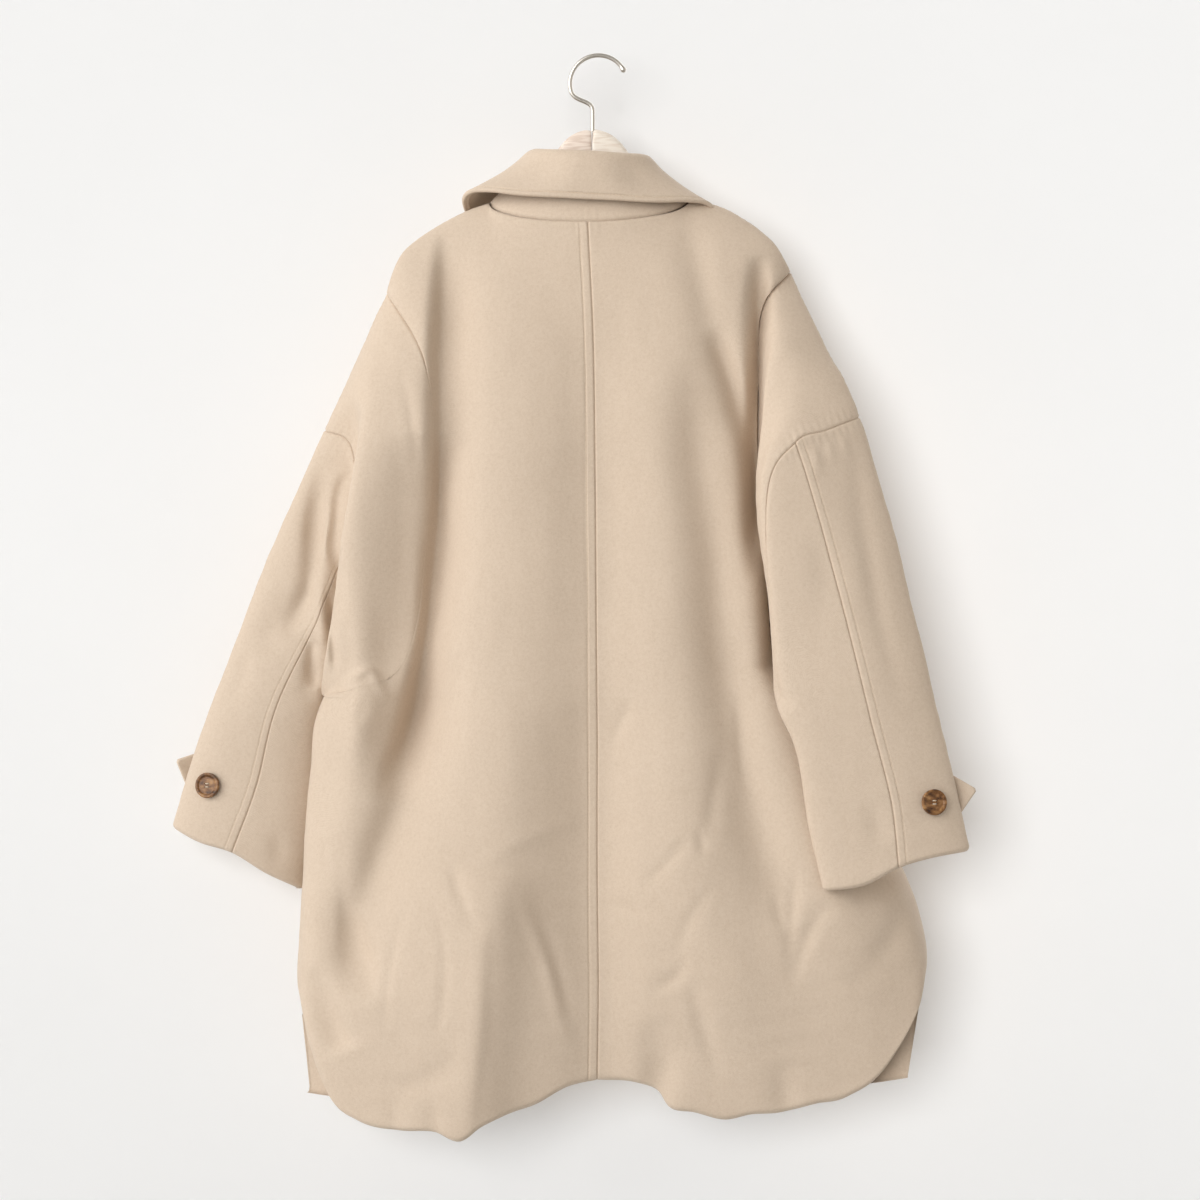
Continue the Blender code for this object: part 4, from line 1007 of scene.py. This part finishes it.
def lineAtGap(shaped, normal, gap, away, byRows):
    if not byRows:
        shaped, normal, gap = shaped.transpose(1, 0, 2), normal.transpose(1, 0, 2), gap.T
    path, ups = [], []
    for row in range(len(shaped)):
        order = np.argsort(gap[row])
        path.append([np.interp(away, gap[row][order], shaped[row][order, i]) for i in range(3)])
        ups.append([np.interp(away, gap[row][order], normal[row][order, i]) for i in range(3)])
    return np.array(path), unit(np.array(ups))


threads = []
for name, (edge, away, _) in stitchLines.items():
    shaped, normal, gaps = dressed[name]
    path, ups = lineAtGap(shaped, normal, gaps[edge], away, edge == "left")
    threads.append(stitchRun(name + "Stitching", path[2:-2], ups[2:-2]))
print("stitching", len(threads), "runs")

# cuff tabs
cuffTab = {
    "along": {"left": 1.855, "right": 1.865}, "width": 0.036, "thick": 0.0032, "clear": 0.0034,
    "reach": 0.018, "point": 0.017, "tip": 0.003, "shares": (0.50, 0.42, 0.34, 0.26, 0.19, 0.13), "cells": 22,
    "crumpleSize": 0.014, "probe": 0.01,
}


def tabGrid(side):
    along = cuffTab["along"][side]
    probe = cuffTab["probe"]
    near = sleevePoints(side, [along - probe, along + probe], [0.0], "front")[:, 0]
    half = cuffTab["width"] / 2 / (np.linalg.norm(near[1] - near[0]) / (2 * probe))
    lanes = along + half * np.array([-1.0, 0.0, 1.0])
    strip = sleevePoints(side, lanes, cuffTab["shares"], "front").transpose(1, 0, 2)
    normal = gridNormals(strip)
    if normal[..., 1].mean() < 0:
        normal = -normal
    strip = strip + normal * cuffTab["clear"]
    outer = sleevePoints(side, lanes, [0.0], "front")[:, 0]
    middle = unit(strip[-1] - strip[-2])[1]
    past = np.linalg.norm((outer[1] - strip[-1, 1])[[0, 2]]) + cuffTab["reach"]
    shoulder = strip[-1] + middle * (past - cuffTab["point"])
    wide = unit(shoulder[2] - shoulder[0])
    tip = strip[-1, 1] + middle * past + wide * cuffTab["tip"] / 2 * np.array([-1.0, 0.0, 1.0])[:, None]
    rows = np.concatenate([strip, shoulder[None], tip[None]])
    count = len(rows)
    fine = np.concatenate([np.linspace(0, count - 2, 40), np.linspace(count - 2, count - 1, 14)[1:]])
    low = np.clip(np.floor(fine).astype(int), 0, count - 2)
    t = (fine - low)[:, None, None]
    rows = rows[low] * (1 - t) + rows[low + 1] * t
    inner = np.linspace(0.15, 0.85, cuffTab["cells"])
    cells = np.concatenate([[0, 0.03, 0.06, 0.10], inner, [0.90, 0.94, 0.97, 1]])
    a, b, c = rows[:, :1], rows[:, 1:2], rows[:, 2:]
    u = cells[None, :, None]
    return np.where(u < 0.5, a + (b - a) * u * 2, b + (c - b) * (u - 0.5) * 2)


tabPieces = {}
for side in sides:
    name = "cuffTab" + side.capitalize()
    grid = tabGrid(side)
    turn = 1.0 if gridNormals(grid)[..., 1].mean() > 0 else -1.0
    normal = gridNormals(grid) * turn
    gaps = edgeGaps(grid)
    shaped = grid + normal * (cloth["crumple"] * softNoise(grid, cuffTab["crumpleSize"], 5))[..., None]
    edges = {"low": "plain", "high": "round", "left": "round", "right": "round"}
    tabPieces[side] = clothShell(name, shaped, normal, turn, gaps, edges, cuffTab["thick"])
print("cuff tabs done")

# buttons
button = {
    "place": {"left": (1.860, 0.20), "right": (1.865, 0.20)}, "radius": 0.012, "thick": 0.0040,
    "rim": 0.0024, "dish": 0.0010, "wall": 0.0012, "floor": 0.0040, "floorRise": 0.0002, "bevel": 0.0011,
    "holeOut": 0.0022, "holeRadius": 0.0009, "stand": 0.0022,
    "threadThick": 0.0011, "threadFlat": 0.75, "threadSink": 0.0006,
}


def only(item):
    clearPick()
    item.select_set(True)
    bpy.context.view_layer.objects.active = item


def applyAll(item):
    only(item)
    for modifier in list(item.modifiers):
        bpy.ops.object.modifier_apply(modifier=modifier.name)


def hornButton(name):
    clearPick()
    bpy.ops.mesh.primitive_cylinder_add(vertices=72, radius=button["radius"], depth=button["thick"])
    disc = bpy.context.active_object
    disc.name = name
    bpy.ops.object.mode_set(mode="EDIT")
    bpy.ops.mesh.select_mode(type="FACE")
    bpy.ops.mesh.select_all(action="DESELECT")
    bpy.ops.object.mode_set(mode="OBJECT")
    for face in disc.data.polygons:
        face.select = face.normal.z > 0.9
    bpy.ops.object.mode_set(mode="EDIT")
    bpy.ops.mesh.inset(thickness=button["rim"], depth=0.0)
    bpy.ops.mesh.inset(thickness=button["wall"], depth=-button["dish"])
    bpy.ops.mesh.inset(thickness=button["floor"], depth=button["floorRise"])
    bpy.ops.object.mode_set(mode="OBJECT")
    bevel = disc.modifiers.new("edge", "BEVEL")
    bevel.width, bevel.segments, bevel.limit_method = button["bevel"], 4, "ANGLE"
    bevel.angle_limit = math.radians(24)
    applyAll(disc)
    for i in range(4):
        turn = math.radians(45 + 90 * i)
        clearPick()
        bpy.ops.mesh.primitive_cylinder_add(
            vertices=20, radius=button["holeRadius"], depth=0.02,
            location=(button["holeOut"] * math.cos(turn), button["holeOut"] * math.sin(turn), 0))
        drill = bpy.context.active_object
        cut = disc.modifiers.new("hole", "BOOLEAN")
        cut.operation, cut.object, cut.solver = "DIFFERENCE", drill, "EXACT"
        applyAll(disc)
        bpy.data.objects.remove(drill)
    only(disc)
    bpy.ops.object.shade_smooth_by_angle(angle=math.radians(35))
    return disc


def buttonThread(name):
    # two strands over the four holes
    strands = []
    for y in (-1, 1):
        reach = button["holeOut"] * math.sin(math.radians(45))
        clearPick()
        bpy.ops.mesh.primitive_torus_add(
            major_segments=28, minor_segments=10, major_radius=reach, minor_radius=button["threadThick"] / 2,
            location=(0, y * reach, button["thick"] / 2 - button["dish"] - button["threadSink"]),
            rotation=(math.pi / 2, 0, 0))
        strand = bpy.context.active_object
        strand.scale.y = button["threadFlat"]
        strands.append(strand)
    clearPick()
    for strand in strands:
        strand.select_set(True)
    bpy.context.view_layer.objects.active = strands[0]
    bpy.ops.object.transform_apply(location=True, rotation=True, scale=True)
    bpy.ops.object.join()
    thread = bpy.context.active_object
    thread.name = name
    bpy.ops.object.shade_smooth()
    return thread


def setDown(item, pose):
    item.matrix_world = pose @ item.matrix_world
    only(item)
    bpy.ops.object.transform_apply(location=True, rotation=True, scale=True)


buttonPieces, buttonThreads = {}, {}
for side in sides:
    along, share = button["place"][side]
    spread = sleevePoints(side, [along - 0.02, along + 0.02], [share - 0.03, share + 0.03], "back")
    up = Vector(np.cross(spread[1, 1] - spread[0, 0], spread[0, 1] - spread[1, 0])).normalized()
    if up.y > 0:
        up.negate()
    centre = Vector(spread.reshape(-1, 3).mean(axis=0)) + up * (button["stand"] + button["thick"] / 2)
    pose = Matrix.Translation(centre) @ up.to_track_quat("Z", "Y").to_matrix().to_4x4()
    buttonPieces[side] = hornButton("button" + side.capitalize() + "Horn")
    setDown(buttonPieces[side], pose)
    buttonThreads[side] = buttonThread("button" + side.capitalize() + "Thread")
    setDown(buttonThreads[side], pose)
print("buttons done")

# wire hook and wooden hanger
hook = {
    "wire": 0.0042, "radius": 0.0250, "stemX": -0.0056, "tip": 24.0, "leave": 196.0, "steps": 60,
    "footZ": -0.0664, "neckZ": -0.0505, "ball": 1.35, "pull": 0.0105, "sunk": 0.004,
}


def makeHook():
    reach = hook["radius"] + hook["wire"] / 2
    angles = np.radians(np.linspace(hook["tip"], hook["leave"], hook["steps"] + 1))
    places = [(reach * math.cos(a), reach * math.sin(a) - hook["radius"]) for a in angles]
    leave = Vector(places[-1])
    way = Vector((-math.sin(angles[-1]), math.cos(angles[-1])))
    neck = Vector((hook["stemX"], hook["neckZ"]))
    far, near = leave + way * hook["pull"], neck + Vector((0, hook["pull"]))
    for t in np.linspace(0, 1, 17)[1:]:
        spot = leave * (1 - t) ** 3 + far * 3 * t * (1 - t) ** 2 + near * 3 * t * t * (1 - t) + neck * t ** 3
        places.append((spot.x, spot.y))
    places.append((hook["stemX"], hook["footZ"] - hook["sunk"]))
    curve = bpy.data.curves.new("hookWire", "CURVE")
    curve.dimensions = "3D"
    curve.bevel_depth, curve.bevel_resolution, curve.use_fill_caps = hook["wire"] / 2, 6, True
    wire = curve.splines.new("POLY")
    wire.points.add(len(places) - 1)
    for i, (point, (x, z)) in enumerate(zip(wire.points, places)):
        point.co = (x, 0, z, 1)
        swell = max(0.0, 1 - ((i - 2) / 2.4) ** 2)  # ball at the tip
        point.radius = 1 + (hook["ball"] - 1) * swell if i > 0 else 0.5
    only(newItem("hookWire", curve))
    bpy.ops.object.convert(target="MESH")
    item = bpy.context.active_object
    bpy.ops.object.shade_smooth_by_angle(angle=math.radians(50))
    return item


hookPiece = makeHook()


def smoothCopy(node, name):
    mesh = nodes[node].data.copy()
    mesh.materials.clear()
    item = newItem(name, mesh)
    only(item)
    bpy.ops.object.mode_set(mode="EDIT")
    bpy.ops.mesh.select_all(action="SELECT")
    bpy.ops.mesh.remove_doubles(threshold=0.00002)
    bpy.ops.mesh.tris_convert_to_quads()
    bpy.ops.object.mode_set(mode="OBJECT")
    crease = item.modifiers.new("round", "SUBSURF")
    crease.levels = crease.render_levels = 2
    applyAll(item)
    bpy.ops.object.shade_smooth_by_angle(angle=math.radians(50))
    return item


hangerPieces = {side: smoothCopy("hanger_" + side, "hanger" + side.capitalize() + "Wood") for side in sides}
print("hanger done")

# materials
clothLook = {
    "colour": (0.614, 0.498, 0.389), "deep": (0.555, 0.441, 0.336), "pale": (0.652, 0.543, 0.435),
    "roughness": 0.88, "sheen": 0.22, "sheenRoughness": 0.45, "sheenTint": (1.0, 0.96, 0.91, 1.0),
    "pitch": 0.0011, "bump": 0.28, "bumpHeight": 0.0004, "specular": 0.25, "twist": 2.4, "slant": 0.62,
    "sizes": {"twist": 160.0, "nap": 900.0, "fluff": 330.0, "cloud": 9.0}, "cloud": (0.985, 0.982, 0.978),
}
threadLook = {"colour": (0.70, 0.57, 0.43), "roughness": 0.7, "size": 2200.0, "shade": 0.86}
hornLook = {
    "dark": (0.040, 0.016, 0.007), "brown": (0.19, 0.085, 0.030), "amber": (0.42, 0.23, 0.095),
    "stretch": (90.0, 90.0, 230.0), "turn": (0.3, 0.9, 0.5), "blotch": 210.0,
    "specular": 0.22, "coat": 0.15, "coatRoughness": 0.08,
}
woodLook = {
    "left": {"pale": (0.80, 0.69, 0.60), "dark": (0.66, 0.53, 0.44), "shift": 0.31},
    "right": {"pale": (0.84, 0.77, 0.68), "dark": (0.74, 0.64, 0.54), "shift": 0.07},
    "ringStretch": (22.0, 60.0, 150.0), "ringTurn": (0.0, 0.35, 0.0), "rings": 26.0,
    "fibreStretch": (90.0, 900.0, 1500.0),
}
wireLook = {"colour": (0.66, 0.62, 0.56), "roughness": 0.30, "rub": 0.14, "size": 700.0, "dull": 0.9}


def newGroup(name, inputs, outputs):
    group = bpy.data.node_groups.new(name, "ShaderNodeTree")
    for way, sockets in (("INPUT", inputs), ("OUTPUT", outputs)):
        for label, kind in sockets:
            group.interface.new_socket(name=label, in_out=way, socket_type=kind)
    return group, group.nodes.new("NodeGroupInput"), group.nodes.new("NodeGroupOutput")


def add(tree, kind, **values):
    node = tree.nodes.new(kind)
    for key, value in values.items():
        setattr(node, key, value)
    return node


def setValues(node, values):
    for label, value in values.items():
        node.inputs[label].default_value = value


def math2(tree, operation, a, b):
    node = add(tree, "ShaderNodeMath", operation=operation)
    for socket, value in zip(node.inputs, (a, b)):
        if hasattr(value, "links"):
            tree.links.new(value, socket)
        else:
            socket.default_value = value
    return node.outputs[0]


def scaled(tree, value, factor, more=None):
    part = math2(tree, "MULTIPLY", value, factor)
    return part if more is None else math2(tree, "ADD", part, more)


def noiseOf(tree, vector, scale, detail=3.0, rough=0.55):
    node = add(tree, "ShaderNodeTexNoise")
    setValues(node, {"Scale": scale, "Detail": detail, "Roughness": rough})
    tree.links.new(vector, node.inputs["Vector"])
    return node.outputs["Fac"]


def mapped(tree, vector, values):
    node = add(tree, "ShaderNodeMapping")
    setValues(node, values)
    tree.links.new(vector, node.inputs["Vector"])
    return node.outputs["Vector"]


def twillGroup():
    group, start, end = newGroup(
        "fineTwill",
        [("Lay", "NodeSocketVector"), ("Place", "NodeSocketVector"), ("Pitch", "NodeSocketFloat")],
        [("Height", "NodeSocketFloat"), ("Tone", "NodeSocketFloat"), ("Cloud", "NodeSocketFloat")])
    split = add(group, "ShaderNodeSeparateXYZ")
    group.links.new(start.outputs["Lay"], split.inputs[0])
    u = math2(group, "DIVIDE", split.outputs["X"], start.outputs["Pitch"])
    v = math2(group, "DIVIDE", split.outputs["Y"], start.outputs["Pitch"])
    place, sizes = start.outputs["Place"], clothLook["sizes"]
    twist = scaled(group, noiseOf(group, place, sizes["twist"], 2.0), clothLook["twist"])
    # slanted rib of the twill, and the threads across it
    slope = math2(group, "ADD", scaled(group, v, clothLook["slant"], u), twist)
    rib = math2(group, "SINE", scaled(group, slope, 2 * math.pi), 0.0)
    weft = math2(group, "SINE", scaled(group, math2(group, "ADD", v, twist), 4 * math.pi), 0.0)
    woven = scaled(group, rib, 0.6, scaled(group, weft, 0.25))
    nap = noiseOf(group, place, sizes["nap"], 2.0, 0.7)
    fluff = noiseOf(group, place, sizes["fluff"], 3.0, 0.65)
    height = scaled(group, woven, 0.35, math2(group, "ADD", nap, fluff))
    group.links.new(height, end.inputs["Height"])
    tone = scaled(group, woven, 0.10, scaled(group, nap, 0.5, scaled(group, fluff, 0.5)))
    group.links.new(tone, end.inputs["Tone"])
    group.links.new(noiseOf(group, place, sizes["cloud"], 4.0, 0.5), end.inputs["Cloud"])
    return group


def newMaterial(name):
    material = bpy.data.materials.new(name)
    material.use_nodes = True
    tree = material.node_tree
    place = add(tree, "ShaderNodeTexCoord").outputs["Object"]
    return material, tree, tree.nodes["Principled BSDF"], place


def ramp(tree, value, stops):
    node = add(tree, "ShaderNodeValToRGB")
    tree.links.new(value, node.inputs[0])
    while len(node.color_ramp.elements) < len(stops):
        node.color_ramp.elements.new(0.5)
    for element, (at, colour) in zip(node.color_ramp.elements, stops):
        element.position = at
        element.color = (*colour, 1.0) if len(colour) == 3 else colour
    return node.outputs["Color"]


def mixColour(tree, share, a, b, blend="MIX"):
    node = add(tree, "ShaderNodeMix", data_type="RGBA", blend_type=blend)
    sockets = [s for s in node.inputs if s.enabled]
    for socket, value in zip(sockets, (share, a, b)):
        if hasattr(value, "links"):
            tree.links.new(value, socket)
        else:
            socket.default_value = (*value, 1.0) if isinstance(value, tuple) and len(value) == 3 else value
    return [s for s in node.outputs if s.enabled][0]


def bumpFrom(tree, height, strength, distance):
    node = add(tree, "ShaderNodeBump")
    setValues(node, {"Strength": strength, "Distance": distance})
    tree.links.new(height, node.inputs["Height"])
    return node.outputs["Normal"]


twill = twillGroup()


def beigeCloth():
    material, tree, shader, place = newMaterial("beigeTwill")
    lay = add(tree, "ShaderNodeUVMap", uv_map="weave")
    weave = add(tree, "ShaderNodeGroup", node_tree=twill)
    setValues(weave, {"Pitch": clothLook["pitch"]})
    tree.links.new(lay.outputs["UV"], weave.inputs["Lay"])
    tree.links.new(place, weave.inputs["Place"])
    stops = [(0.30, clothLook["deep"]), (0.50, clothLook["colour"]), (0.72, clothLook["pale"])]
    fine = ramp(tree, weave.outputs["Tone"], stops)
    cloud = ramp(tree, weave.outputs["Cloud"], [(0.30, clothLook["cloud"]), (0.70, (1.0, 1.0, 1.0))])
    tree.links.new(mixColour(tree, 1.0, fine, cloud, "MULTIPLY"), shader.inputs["Base Color"])
    rough = add(tree, "ShaderNodeMapRange")
    setValues(rough, {"To Min": clothLook["roughness"] - 0.05, "To Max": clothLook["roughness"] + 0.07})
    tree.links.new(weave.outputs["Tone"], rough.inputs["Value"])
    tree.links.new(rough.outputs[0], shader.inputs["Roughness"])
    bump = bumpFrom(tree, weave.outputs["Height"], clothLook["bump"], clothLook["bumpHeight"])
    tree.links.new(bump, shader.inputs["Normal"])
    setValues(shader, {
        "Sheen Weight": clothLook["sheen"], "Sheen Roughness": clothLook["sheenRoughness"],
        "Sheen Tint": clothLook["sheenTint"], "Specular IOR Level": clothLook["specular"],
    })
    return material


def sewingThread():
    material, tree, shader, place = newMaterial("sewingThread")
    ply = noiseOf(tree, place, threadLook["size"], 2.0)
    low, high = tuple(c * threadLook["shade"] for c in threadLook["colour"]), threadLook["colour"]
    tree.links.new(ramp(tree, ply, [(0.35, low), (0.65, high)]), shader.inputs["Base Color"])
    tree.links.new(bumpFrom(tree, ply, 0.4, 0.0002), shader.inputs["Normal"])
    setValues(shader, {"Roughness": threadLook["roughness"]})
    return material


def horn():
    material, tree, shader, place = newMaterial("polishedHorn")
    stretch = mapped(tree, place, {"Scale": hornLook["stretch"], "Rotation": hornLook["turn"]})
    streak = noiseOf(tree, stretch, 1.0, 4.0, 0.6)
    blotch = noiseOf(tree, place, hornLook["blotch"], 2.0)
    both = scaled(tree, streak, 0.65, scaled(tree, blotch, 0.35))
    stops = [(0.36, hornLook["dark"]), (0.50, hornLook["brown"]), (0.66, hornLook["amber"])]
    tree.links.new(ramp(tree, both, stops), shader.inputs["Base Color"])
    tree.links.new(scaled(tree, streak, 0.16, 0.14), shader.inputs["Roughness"])
    setValues(shader, {
        "Specular IOR Level": hornLook["specular"], "Coat Weight": hornLook["coat"],
        "Coat Roughness": hornLook["coatRoughness"],
    })
    return material


def grainGroup():
    group, start, end = newGroup(
        "woodGrain", [("Place", "NodeSocketVector")],
        [("Grain", "NodeSocketFloat"), ("Pore", "NodeSocketFloat")])
    place = start.outputs["Place"]
    stretch = mapped(group, place, {"Scale": woodLook["ringStretch"], "Rotation": woodLook["ringTurn"]})
    rings = noiseOf(group, stretch, 1.0, 3.0, 0.5)
    bands = math2(group, "SINE", scaled(group, rings, woodLook["rings"]), 0.0)
    pore = noiseOf(group, mapped(group, place, {"Scale": woodLook["fibreStretch"]}), 1.0, 2.0, 0.6)
    group.links.new(scaled(group, bands, 0.22, scaled(group, pore, 0.35, 0.33)), end.inputs["Grain"])
    group.links.new(pore, end.inputs["Pore"])
    return group


grain = grainGroup()


def paleWood(side):
    material, tree, shader, place = newMaterial("paleWood" + side.capitalize())
    look = woodLook[side]
    lines = add(tree, "ShaderNodeGroup", node_tree=grain)
    tree.links.new(mapped(tree, place, {"Location": (look["shift"], 0.0, 0.0)}), lines.inputs["Place"])
    stops = [(0.25, look["dark"]), (0.70, look["pale"])]
    tree.links.new(ramp(tree, lines.outputs["Grain"], stops), shader.inputs["Base Color"])
    tree.links.new(scaled(tree, lines.outputs["Pore"], 0.2, 0.38), shader.inputs["Roughness"])
    tree.links.new(bumpFrom(tree, lines.outputs["Pore"], 0.12, 0.0003), shader.inputs["Normal"])
    return material


def satinWire():
    material, tree, shader, place = newMaterial("satinWire")
    rub = noiseOf(tree, place, wireLook["size"], 3.0, 0.6)
    dull = tuple(c * wireLook["dull"] for c in wireLook["colour"])
    tree.links.new(ramp(tree, rub, [(0.3, dull), (0.7, wireLook["colour"])]), shader.inputs["Base Color"])
    rough = scaled(tree, rub, wireLook["rub"], wireLook["roughness"] - wireLook["rub"] / 2)
    tree.links.new(rough, shader.inputs["Roughness"])
    setValues(shader, {"Metallic": 1.0})
    return material


def finish(item, material, slot, *replaced):
    item.data.materials.clear()
    item.data.materials.append(material)
    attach(item, "root")
    if replaced:
        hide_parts(*replaced)


beige, sewing = beigeCloth(), sewingThread()
for name, item in coatPieces.items():
    finish(item, beige, "cloth", nodeFor(name))
for side in sides:
    finish(tabPieces[side], beige, "cloth", "cuff_tab_" + side)
    finish(buttonPieces[side], horn(), "horn", "button_" + side)
    finish(buttonThreads[side], sewing, "cloth")
    finish(hangerPieces[side], paleWood(side), "wood_" + side, "hanger_" + side)
for item in threads:
    finish(item, sewing, "cloth")
finish(hookPiece, satinWire(), "wire", "hanger_hook")
print("materials done")

# stage, light and camera
stageLook = {"wallY": 0.104, "floorZ": -1.45, "wall": (0.93, 0.93, 0.928), "floor": (0.90, 0.90, 0.895)}
lightLook = {
    "world": 0.29, "worldTint": (1.0, 0.955, 0.89, 1.0),
    "windowLight": {"from": (-0.70, -0.66, 0.17), "angle": 72.0, "power": 3.72, "tint": (1.0, 1.0, 1.0)},
    "fillLight": {"from": (0.80, -0.50, 0.05), "angle": 90.0, "power": 0.62, "tint": (1.0, 0.94, 0.85)},
    "frontLight": {"from": (0.30, 0.88, 0.36), "angle": 60.0, "power": 1.1, "tint": (1.0, 1.0, 1.0)},
    "wallLight": {"from": (-0.19, -0.97, 0.09), "angle": 30.0, "power": 2.05, "tint": (0.985, 0.992, 1.0)},
}
cameraLook = {"place": (0.0014, -3.2, -0.5154), "lens": 36 * 3.2 / 1.14}


def plainSurface(name, colour, oneSided):
    material, tree, shader, place = newMaterial(name)
    cloud = noiseOf(tree, place, 3.0, 3.0)
    low = tuple(c * 0.985 for c in colour)
    tree.links.new(ramp(tree, cloud, [(0.3, low), (0.7, colour)]), shader.inputs["Base Color"])
    setValues(shader, {"Roughness": 0.9, "Specular IOR Level": 0.2})
    if oneSided:  # seen through from behind
        through = add(tree, "ShaderNodeBsdfTransparent")
        side = add(tree, "ShaderNodeNewGeometry")
        mix = add(tree, "ShaderNodeMixShader")
        tree.links.new(side.outputs["Backfacing"], mix.inputs[0])
        tree.links.new(shader.outputs[0], mix.inputs[1])
        tree.links.new(through.outputs[0], mix.inputs[2])
        tree.links.new(mix.outputs[0], tree.nodes["Material Output"].inputs["Surface"])
    return material


clearPick()
bpy.ops.mesh.primitive_plane_add(
    size=9.0, location=(0, stageLook["wallY"], 1.0), rotation=(math.pi / 2, 0, 0))
wall = bpy.context.active_object
wall.name = "stageWall"
wall.data.materials.append(plainSurface("stageWallPaint", stageLook["wall"], True))
bpy.ops.mesh.primitive_plane_add(size=12.0, location=(0, 0, stageLook["floorZ"]))
floor = bpy.context.active_object
floor.name = "stageFloor"
floor.data.materials.append(plainSurface("stageFloorPaint", stageLook["floor"], False))

world = bpy.context.scene.world or bpy.data.worlds.new("studio")
bpy.context.scene.world = world
world.use_nodes = True
sky = world.node_tree.nodes["Background"]
setValues(sky, {"Color": lightLook["worldTint"], "Strength": lightLook["world"]})

onStage = bpy.data.collections.new("onStage")
offStage = bpy.data.collections.new("offStage")
for item in bpy.context.scene.objects:
    if item.type == "MESH":
        (onStage if item in (wall, floor) else offStage).objects.link(item)
for name in ("windowLight", "fillLight", "frontLight", "wallLight"):
    look = lightLook[name]
    data = bpy.data.lights.new(name, "SUN")
    data.energy, data.angle, data.color = look["power"], math.radians(look["angle"]), look["tint"]
    light = newItem(name, data)
    light.location = Vector(look["from"]) * 3
    light.rotation_euler = Vector(look["from"]).to_track_quat("Z", "Y").to_euler()
    light.light_linking.receiver_collection = onStage if name == "wallLight" else offStage
    if name == "frontLight":  # the wall doesn't shade the hidden front
        light.light_linking.blocker_collection = offStage

cameraData = bpy.data.cameras.new("photoCamera")
cameraData.lens, cameraData.sensor_width = cameraLook["lens"], 36
camera = newItem("photoCamera", cameraData)
camera.location, camera.rotation_euler = cameraLook["place"], (math.pi / 2, 0, 0)
bpy.context.scene.camera = camera
bpy.context.scene.view_settings.view_transform = "Standard"

print("scene done")
